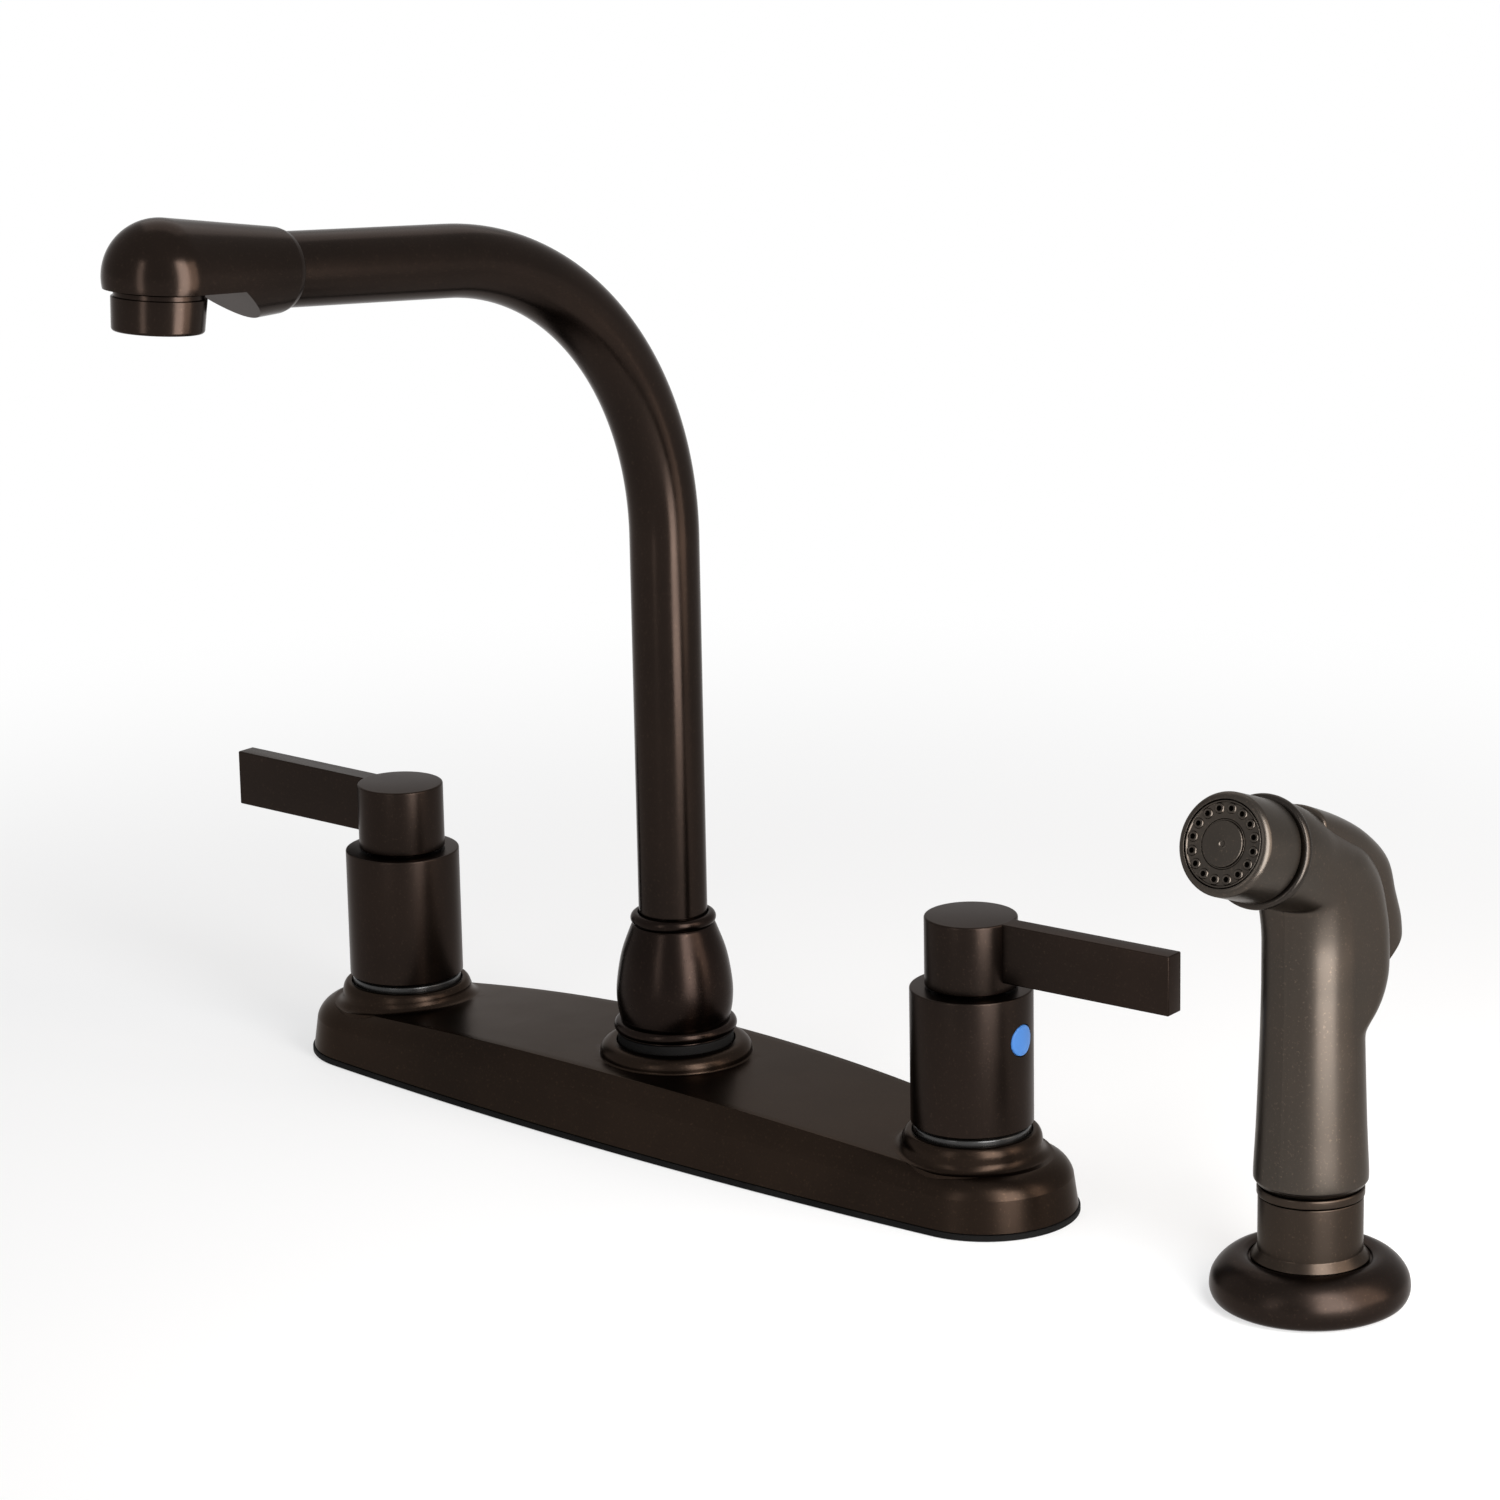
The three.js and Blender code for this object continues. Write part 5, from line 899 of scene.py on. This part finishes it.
def spout_head():
    start = HEAD_SEAM + HEAD_SHOULDER
    lip = TUBE_RADIUS + SEAT
    dome = turn_arc((DOME_STATION, 0), DOME_RADIUS, 90 + math.degrees(math.atan(HEAD_SLOPE)), 0, 40)
    cone = [(HEAD_START_RADIUS + HEAD_SLOPE * k, start + k) for k in (0, 3, 6, 12, 18, 24, 30)]
    profile = rounded([
        (0, HEAD_SEAM),
        (lip, HEAD_SEAM, 0.25),
        (lip + 0.45, HEAD_SEAM + 0.5, 0.8),
        (HEAD_START_RADIUS - 0.2, HEAD_SEAM + 2, 0.8),
        (*cone[0], 2),
        *cone[1:],
        *[(max(0, radius), station) for station, radius in dome],
    ])
    piece = lathe("spout_outlet_head", profile, HEAD, ROUND * 2)
    notch = DOME_STATION - NOTCH_BACK
    drop = DOME_RADIUS + 2 * PAST
    back = notch - (drop - HEAD_FLAT) / math.tan(math.radians(NOTCH_SLOPE))
    tip = DOME_STATION + DOME_RADIUS + PAST
    side_view = [(-HEAD_FLAT, notch), (-HEAD_FLAT, tip), (-drop, tip), (-drop, back)]
    underside = loft("underside", [[(x, y, z) for y, z in side_view] for x in (-20, 20)], HEAD)
    socket = rod("socket", TUBE_RADIUS + SEAT, HEAD_SEAM - PAST, HEAD_SEAM + HEAD_SOCKET, HEAD, ROUND)
    bore = rod("bore", HEAD_BORE, HEAD_SEAM, DOME_STATION, HEAD @ shift(0, HEAD_BORE_RISE, 0))
    roof = -HEAD_FLAT - SEAT + AERATOR_THREAD_HEIGHT + 2.4
    down = HEAD @ shift(0, 0, DOME_STATION) @ rotation("X", -90)
    hole = rod("hole", AERATOR_THREAD + SEAT, -DOME_RADIUS, roof, down, ROUND)
    combine(piece, "DIFFERENCE", underside, socket, bore, hole)
    dress(piece, "spout", BRONZE, "bronze", "spout_head")


def aerator():
    top = -HEAD_FLAT - SEAT
    collar = top - AERATOR_COLLAR_HEIGHT
    low = collar - AERATOR_HEIGHT
    foot = AERATOR_RADIUS - AERATOR_TAPER
    piece = lathe("aerator_housing", rounded([
        (AERATOR_BORE - AERATOR_LIP, low, 0.3),
        (foot, low, 0.8),
        (AERATOR_RADIUS, collar, 0.3),
        (AERATOR_COLLAR, collar),
        (AERATOR_COLLAR, top, 0.25),
        (AERATOR_THREAD, top),
        (AERATOR_THREAD, top + AERATOR_THREAD_HEIGHT),
        (AERATOR_BORE, top + AERATOR_THREAD_HEIGHT),
        (AERATOR_BORE, low + 2),
        (AERATOR_BORE - AERATOR_LIP, low + 2, 0.2),
    ], True), HEAD @ shift(0, 0, DOME_STATION) @ rotation("X", -90))
    dress(piece, "spout", BRONZE, "bronze", "aerator_shell")


spout_nut()
seat_washer()
spout_tube()
spout_head()
aerator()

# ----------------------------------------------------------------------------
# Sprayer holder

HOLDER = shift(SPRAYER_X, 0, 0)
LINER_LIP_LOW = HOLDER_TOP + SEAT
LINER_TOP = LINER_LIP_LOW + LINER_LIP_HEIGHT


def escutcheon():
    floor = HOLDER_FOOT_LOW - SEAT
    shoulder = HOLDER_FOOT_RADIUS + 0.6
    bore = HOLDER_SHANK_RADIUS + SEAT + 0.1
    dome = spline([
        (ESCUTCHEON_RADIUS - 2.6, 0.15),
        (ESCUTCHEON_RADIUS - 1.1, 1.1),
        (ESCUTCHEON_RADIUS - 0.2, 2.7),
        (ESCUTCHEON_RADIUS, 4.6),
        (ESCUTCHEON_RADIUS - 0.5, 7),
        (ESCUTCHEON_RADIUS - 1.9, 9.2),
        (ESCUTCHEON_RADIUS - 3.9, ESCUTCHEON_HEIGHT - 1.1),
        (ESCUTCHEON_RADIUS - 6, ESCUTCHEON_HEIGHT - 0.12),
        (ESCUTCHEON_RADIUS - 7.8, ESCUTCHEON_HEIGHT),
        (shoulder + 0.3, ESCUTCHEON_HEIGHT - 0.4),
    ], 10)
    piece = lathe("sprayer_escutcheon", rounded([
        (bore, floor - 2),
        (HOLDER_FOOT_RADIUS + 1, floor - 2),
        (ESCUTCHEON_RADIUS - 0.8 - ESCUTCHEON_RIM, 4),
        (ESCUTCHEON_RADIUS - 0.8 - ESCUTCHEON_RIM, 0),
        (ESCUTCHEON_RADIUS - 3, 0),
        *dome[:-1],
        (*dome[-1], 0.2),
        (shoulder, ESCUTCHEON_HEIGHT - 0.6, 0.1),
        (shoulder, floor),
        (bore, floor),
    ], True), HOLDER)
    dress(piece, "base", HANDLE_BRONZE, "plate_bronze", "holder_escutcheon")


def spray_holder():
    bore = LINER_RADIUS + SEAT
    piece = lathe("sprayer_holder_tube", rounded([
        (HOLDER_BORE, -HOLDER_SHANK_DEPTH),
        (HOLDER_SHANK_RADIUS, -HOLDER_SHANK_DEPTH, 0.5),
        (HOLDER_SHANK_RADIUS, HOLDER_FOOT_LOW),
        (HOLDER_FOOT_RADIUS, HOLDER_FOOT_LOW, 0.15),
        (HOLDER_FOOT_RADIUS, HOLDER_FOOT_LOW + 0.5, 0.3),
        (HOLDER_RADIUS, HOLDER_FOOT_TOP, 0.5),
        (HOLDER_RADIUS, HOLDER_TOP, 0.3),
        (bore, HOLDER_TOP),
        (bore, LINER_LOW - SEAT),
        (HOLDER_BORE, LINER_LOW - SEAT),
    ], True), HOLDER)
    dress(piece, "base", HOLDER_BRONZE, "spray_bronze", "spray_holder")


def holder_liner():
    bore = LINER_RADIUS - LINER_WALL
    piece = lathe("sprayer_holder_ring", rounded([
        (bore, LINER_LOW),
        (LINER_RADIUS, LINER_LOW),
        (LINER_RADIUS, LINER_LIP_LOW),
        (LINER_LIP_RADIUS, LINER_LIP_LOW, 0.3),
        (LINER_LIP_RADIUS, LINER_TOP, 0.5),
        (bore, LINER_TOP, 0.3),
    ], True), HOLDER)
    dress(piece, "base", HOLDER_BRONZE, "spray_bronze", "holder_liner")


escutcheon()
spray_holder()
holder_liner()

# ----------------------------------------------------------------------------
# Wand with its trigger and nozzle

WAND = HOLDER @ rotation("Z", WAND_SWING)
CROSSING = WAND @ shift(0, 0, NOZZLE_CROSSING)
NOZZLE = CROSSING @ rotation("X", NOZZLE_TURN)
PIVOT_PLACE = CROSSING @ shift(0, *PIVOT)
ELBOW_TANGENT = ELBOW_RADIUS * math.tan(math.radians(NOZZLE_TURN / 2))
ELBOW_LENGTH = ELBOW_RADIUS * math.radians(NOZZLE_TURN)
ELBOW_LOW = NOZZLE_CROSSING - ELBOW_TANGENT
WAND_END = ELBOW_LOW + ELBOW_LENGTH + BODY_END - ELBOW_TANGENT
WAND_BASE = WAND_GRIP[0][0]
MOULD_LINE = 0.05  # how far the line of the mould stands out
MOULD_LINE_HALF_ANGLE = 0.7
CORNER_BLEND = 1.6


def wand_rows():
    """Station along the centre line, half width and reach of the back, from the foot to the nozzle."""
    rows = [*WAND_GRIP, *((ELBOW_LOW - drop, half, back) for drop, half, back in WAND_BULGE)]
    rows += [(ELBOW_LOW + share * ELBOW_LENGTH, half, back) for share, half, back in WAND_ELBOW]
    half, back = rows[-1][1:]
    rows.append((WAND_END - 1.5, half, back))
    return spline(rows, 10) + [(WAND_END - 0.35, half, back), (WAND_END, half - 0.3, back - 0.3)]


def inner_reach(turn, half):
    """The section's inward reach at a turn of the elbow: the grip's front runs straight on to a corner."""
    inner = ELBOW_RADIUS - half
    rest = math.radians(NOZZLE_TURN) - turn
    low, high = inner / math.cos(turn), inner / math.cos(rest)
    blend = max(CORNER_BLEND - abs(low - high), 0) / CORNER_BLEND
    return ELBOW_RADIUS - min(low, high) + blend ** 2 * CORNER_BLEND / 4


def wand_ring(station, half, back):
    turn = min(max(station - ELBOW_LOW, 0), ELBOW_LENGTH) / ELBOW_RADIUS
    front_reach = inner_reach(turn, half)
    low = min(station, ELBOW_LOW)
    beyond = max(0, station - ELBOW_LOW - ELBOW_LENGTH)
    steps = 24
    quarter = turn_arc((0, 0), 1, 180, 270 - MOULD_LINE_HALF_ANGLE, steps)
    quarter = [(x * half, q * front_reach) for x, q in quarter]
    front = quarter + [(0, -front_reach - MOULD_LINE)] + [(-x, q) for x, q in quarter[::-1]]
    rear = turn_arc((0, back - half), half, 0, 180, 2 * steps)
    ring = []
    for x, q in front + rear:
        y = -ELBOW_RADIUS + (ELBOW_RADIUS + q) * math.cos(turn) - beyond * math.sin(turn)
        ring.append((x, y, low + (ELBOW_RADIUS + q) * math.sin(turn) + beyond * math.cos(turn)))
    return ring


def trigger_ring(row, along, inset):
    """A section of the trigger, moved out beyond its plane and drawn in all round."""
    inner, outer = Vector(row[:2]), Vector(row[2:])
    depth = (outer - inner).length - 2 * inset
    out = (outer - inner).normalized()
    start = inner + out * inset + Vector((-out.y, out.x)) * along
    ring = []
    for cosine, sine in turn_arc((0, 0), 1, -90, 90, 40):
        point = start + out * depth * max(cosine, 0) ** TRIGGER_SQUARENESS
        ring.append(((TRIGGER_HALF_WIDTH - inset) * sine, point.x, point.y))
    return ring


def trigger_form(name, place, clearance=0, edge=0):
    """The lever with rounded ends, or the room round it when it is grown by a clearance."""
    rows = spline(TRIGGER, 8)
    if clearance:
        rings = [trigger_ring(rows[0], clearance, -clearance)]
        rings += [trigger_ring(row, 0, -clearance) for row in rows[1:-1]]
        rings.append(trigger_ring(rows[-1], -clearance, -clearance))
        return loft(name, rings, place)
    turns = [math.radians(a) for a in (0, 18, 36, 54, 72, 90)]
    cap = [(-edge * (1 - math.sin(a)), edge * (1 - math.cos(a))) for a in turns]
    rings = [trigger_ring(rows[0], along, inset) for along, inset in cap[::-1]]
    rings += [trigger_ring(row, 0, 0) for row in rows[1:-1]]
    rings += [trigger_ring(rows[-1], -along, inset) for along, inset in cap]
    return loft(name, rings, place, 45)


def pivot_rod(name, radius, half):
    return rod(name, radius, -half, half, PIVOT_PLACE @ rotation("Y", 90))


def trigger():
    piece = trigger_form("sprayer_trigger", CROSSING, edge=TRIGGER_EDGE)
    combine(piece, "UNION", pivot_rod("ear", PIVOT_EAR_RADIUS, PIVOT_EAR_HALF))
    hole = pivot_rod("hole", PIVOT_PIN_RADIUS + SEAT, TRIGGER_HALF_WIDTH + PAST)
    combine(piece, "DIFFERENCE", hole, sharp=45)
    dress(piece, "trigger", SPRAY_BRONZE, "spray_bronze", "spray_trigger")


def wand_body():
    piece = loft("sprayer_wand", [wand_ring(*row) for row in wand_rows()], WAND, 35)
    end = BODY_END + SPIGOT_LENGTH
    socket_top = WAND_BASE + COUPLING_SPIGOT_HEIGHT + SEAT
    combine(piece, "UNION", rod("spigot", SPIGOT_RADIUS, BODY_END - 2, end, NOZZLE))
    pressed = PIVOT_PLACE @ rotation("X", -TRIGGER_TRAVEL) @ shift(0, -PIVOT[0], -PIVOT[1])
    valve = CROSSING @ shift(0, 0, VALVE) @ rotation("X", -90)
    combine(
        piece,
        "DIFFERENCE",
        trigger_form("rest", CROSSING, TRIGGER_CLEARANCE),
        trigger_form("pressed", pressed, TRIGGER_CLEARANCE),
        pivot_rod("ear", PIVOT_EAR_RADIUS + TRIGGER_CLEARANCE, PIVOT_EAR_HALF + TRIGGER_CLEARANCE),
        pivot_rod("pin", PIVOT_PIN_RADIUS + SEAT, PIVOT_PIN_HALF + SEAT),
        rod("socket", COUPLING_SPIGOT_RADIUS + SEAT, WAND_BASE - PAST, socket_top, WAND),
        rod("chamber", VALVE_CHAMBER_RADIUS, *VALVE_CHAMBER, valve),
        rod("bore", PLUNGER_RADIUS + SEAT, 0, PLUNGER_TIP, valve),
        rod("spigot_bore", SPIGOT_BORE, BODY_END - SPIGOT_BORE_DEPTH, end + PAST, NOZZLE),
        sharp=35,
    )
    dress(piece, "wand", SPRAY_BRONZE, "spray_bronze", "wand_body")


FLANGE_LOW = BODY_END + SEAT
CAP_LOW = FLANGE_LOW + FLANGE_THICKNESS + SEAT
CAP_TOP = CAP_LOW + CAP_LENGTH
CAP_MOUTH = CAP_RADIUS - CAP_RIM
FACE_TOP = CAP_TOP - FACE_RECESS
FACE_LOW = FACE_TOP - FACE_THICKNESS
NOZZLE_BORE = SPIGOT_RADIUS + SEAT


def flange_ring():
    piece = lathe("nozzle_ring", rounded([
        (NOZZLE_BORE, FLANGE_LOW),
        (FLANGE_RADIUS, FLANGE_LOW, FLANGE_ROUND),
        (FLANGE_RADIUS, FLANGE_LOW + FLANGE_THICKNESS, FLANGE_ROUND),
        (NOZZLE_BORE, FLANGE_LOW + FLANGE_THICKNESS),
    ], True), NOZZLE)
    dress(piece, "wand", RING_BRONZE, "dark_plastic", "nozzle_flange_ring")


def nozzle_cap():
    front = turn_arc((CAP_RADIUS - CAP_ROUND, CAP_TOP - CAP_ROUND), CAP_ROUND, 0, 88, 16)
    piece = lathe("nozzle_cap_shell", rounded([
        (NOZZLE_BORE, CAP_LOW),
        (CAP_RADIUS - 0.7, CAP_LOW, 0.1),
        (CAP_RADIUS, CAP_LOW + 0.6, 0.35),
        *front,
        (CAP_MOUTH, CAP_TOP, 0.08),
        (CAP_MOUTH, FACE_LOW - SEAT),
        (NOZZLE_BORE, FACE_LOW - SEAT),
    ], True), NOZZLE, sharp=40)
    dress(piece, "wand", SPRAY_BRONZE, "spray_bronze", "nozzle_cap")


def nozzle_face():
    """The spray face: a raised disc with a dimple, and a ring of holes with raised rims."""
    rim = CAP_MOUTH - SEAT
    piece = lathe("nozzle_spray_face", rounded([
        (0, FACE_LOW),
        (rim, FACE_LOW),
        (rim, FACE_TOP, 0.18),
        (rim - 0.35, FACE_TOP, 0.1),
        (rim - 0.55, FACE_TOP - 0.3, 0.15),
        (FACE_DISC_RADIUS + 0.5, FACE_TOP - 0.3, 0.1),
        (FACE_DISC_RADIUS + 0.3, FACE_TOP - 0.5, 0.08),
        (FACE_DISC_RADIUS + 0.05, FACE_TOP - 0.5, 0.08),
        (FACE_DISC_RADIUS - 0.1, FACE_TOP + 0.3, 0.25),
        (1.1, FACE_TOP + 0.18, 0.1),
        (0.85, FACE_TOP + 0.3, 0.08),
        (0.6, FACE_TOP + 0.05, 0.08),
        (0, FACE_TOP + 0.05),
    ]), NOZZLE)
    nub = rounded([(0, -0.7), (1.3, -0.7), (1.3, -0.25, 0.1), (1.1, 0.05, 0.12), (0.72, 0, 0.06), (0, 0)])
    hole = [(0, -1.6), (0.64, -1.6), (0.68, PAST), (0, PAST)]
    for operation, shape in (("UNION", nub), ("DIFFERENCE", hole)):
        tools = []
        for k in range(SPRAY_HOLES):
            turned = rotation("Z", SPRAY_HOLE_TURN + (k + 0.5) * 360 / SPRAY_HOLES)
            place = turned @ shift(SPRAY_HOLE_CIRCLE, 0, FACE_TOP)
            tools.append(lathe("tool", shape, NOZZLE @ place, SMALL))
        combine(piece, operation, *tools)
    dress(piece, "wand", SPRAY_BRONZE, "spray_bronze", "nozzle_face")


trigger()
wand_body()
flange_ring()
nozzle_cap()
nozzle_face()

# ----------------------------------------------------------------------------
# Light, floor and camera


FLOOR_HALF = 12000
FLOOR_DROP = 0.2
FLOOR_WHITE = ((0.2, 0.62), (0.6, 1))  # metres from the spout, and how much of the floor is plain white there
WORLD_LIGHT = 0.4
PHOTO_EYE = (882.73, -956.72, 454.56)
PHOTO_YAW = 0.728936526
PHOTO_PITCH = 0.263791016
PHOTO_ROLL = -0.0190665
PHOTO_LENS = 123.29


def soft_box(name, foot, width, height, strength, colour, aim, lean=0):
    """A soft box, in metres, that faces a point of the floor. Its radiance is pi / 4 times its strength."""
    data = bpy.data.lights.new(name, "AREA")
    data.shape = "RECTANGLE"
    data.size, data.size_y = width, height
    data.energy = strength * math.pi * width * height
    data.color = colour
    lamp = bpy.data.objects.new(name, data)
    bpy.context.scene.collection.objects.link(lamp)
    lamp.visible_camera = False
    facing = Vector((aim[0] - foot[0], aim[1] - foot[1], 0)).normalized()
    facing.z = -math.tan(math.radians(lean))
    lamp.location = foot
    lamp.rotation_euler = facing.to_track_quat("-Z", "Y").to_euler()


soft_box("strip_right", (0.42, -0.11, 0.26), 0.18, 0.51, 13.5, (1, 0.99, 0.98), (0.05, 0))
soft_box("side_panel", (0.52, 0.1, 0.27), 0.26, 0.5, 4.5, (1, 0.86, 0.74), (0.15, 0))
soft_box("strip_left", (0.1, -0.75, 0.35), 0.12, 0.68, 4, (1, 0.98, 0.96), (0.05, 0))
soft_box("overhead", (-0.6, 0.7, 1.3), 1.2, 1.2, 0.9, (1, 1, 1), (0, 0), 55)


def white_rays(tree):
    """One for the rays that show the background: from the camera, in a reflection or through glass."""
    path = tree.nodes.new("ShaderNodeLightPath")
    total = path.outputs["Is Camera Ray"]
    for name in ("Is Glossy Ray", "Is Transmission Ray"):
        node = tree.nodes.new("ShaderNodeMath")
        node.operation = "MAXIMUM"
        tree.links.new(total, node.inputs[0])
        tree.links.new(path.outputs[name], node.inputs[1])
        total = node.outputs[0]
    return total


def mix_shaders(tree, share, first, second, kind):
    """Mixes two shaders by a share into an output node."""
    mix = tree.nodes.new("ShaderNodeMixShader")
    output = tree.nodes.new(kind)
    tree.links.new(share, mix.inputs["Fac"])
    tree.links.new(first.outputs[0], mix.inputs[1])
    tree.links.new(second.outputs[0], mix.inputs[2])
    tree.links.new(mix.outputs[0], output.inputs["Surface"])


def studio_world():
    world = bpy.data.worlds.new("studio")
    bpy.context.scene.world = world
    world.use_nodes = True
    tree = world.node_tree
    tree.nodes.clear()
    soft = tree.nodes.new("ShaderNodeBackground")
    soft.inputs["Color"].default_value = (0.97, 0.98, 1, 1)
    soft.inputs["Strength"].default_value = WORLD_LIGHT
    white = tree.nodes.new("ShaderNodeBackground")
    white.inputs["Strength"].default_value = 1
    mix_shaders(tree, white_rays(tree), soft, white, "ShaderNodeOutputWorld")


def floor():
    """A pale floor that keeps the faucet's shadow and runs out to white."""
    corners = [(x * FLOOR_HALF, y * FLOOR_HALF, -FLOOR_DROP) for x, y in ((-1, -1), (1, -1), (1, 1), (-1, 1))]
    piece = make("floor", corners, [(0, 1, 2, 3)])
    material = bpy.data.materials.new("floor_white")
    material.use_nodes = True
    tree = material.node_tree
    tree.nodes.clear()
    diffuse = tree.nodes.new("ShaderNodeBsdfDiffuse")
    diffuse.inputs["Color"].default_value = (0.86, 0.86, 0.86, 1)
    glow = tree.nodes.new("ShaderNodeEmission")
    glow.inputs["Strength"].default_value = 1
    length = tree.nodes.new("ShaderNodeVectorMath")
    length.operation = "LENGTH"
    tree.links.new(tree.nodes.new("ShaderNodeTexCoord").outputs["Object"], length.inputs[0])
    share = tree.nodes.new("ShaderNodeMapRange")
    share.interpolation_type = "SMOOTHSTEP"
    for end, reading in zip(("Min", "Max"), FLOOR_WHITE):
        for key, value in zip(("From", "To"), reading):
            share.inputs[f"{key} {end}"].default_value = value
    tree.links.new(length.outputs["Value"], share.inputs["Value"])
    factor = tree.nodes.new("ShaderNodeMath")
    factor.operation = "MULTIPLY"
    tree.links.new(share.outputs["Result"], factor.inputs[0])
    tree.links.new(white_rays(tree), factor.inputs[1])
    mix_shaders(tree, factor.outputs[0], diffuse, glow, "ShaderNodeOutputMaterial")
    piece.data.materials.append(material)


def camera():
    """The photograph's view: from the front, to the right of the sprayer, looking a little down."""
    flat = math.cos(PHOTO_PITCH)
    back = Vector((math.sin(PHOTO_YAW) * flat, -math.cos(PHOTO_YAW) * flat, math.sin(PHOTO_PITCH)))
    level = (-back).cross(Vector((0, 0, 1))).normalized()
    upright = level.cross(-back)
    right = math.cos(PHOTO_ROLL) * level + math.sin(PHOTO_ROLL) * upright
    up = -math.sin(PHOTO_ROLL) * level + math.cos(PHOTO_ROLL) * upright
    data = bpy.data.cameras.new("photo_view")
    data.sensor_fit = "HORIZONTAL"
    data.sensor_width = 36
    data.lens = PHOTO_LENS
    data.clip_start, data.clip_end = 0.05, 50
    eye = bpy.data.objects.new("photo_view", data)
    bpy.context.scene.collection.objects.link(eye)
    axes = Matrix((right, up, back)).transposed().to_4x4()
    eye.matrix_world = Matrix.Translation(Vector(PHOTO_EYE) * MM) @ axes
    bpy.context.scene.camera = eye


studio_world()
floor()
camera()
bpy.context.scene.view_settings.view_transform = "Standard"
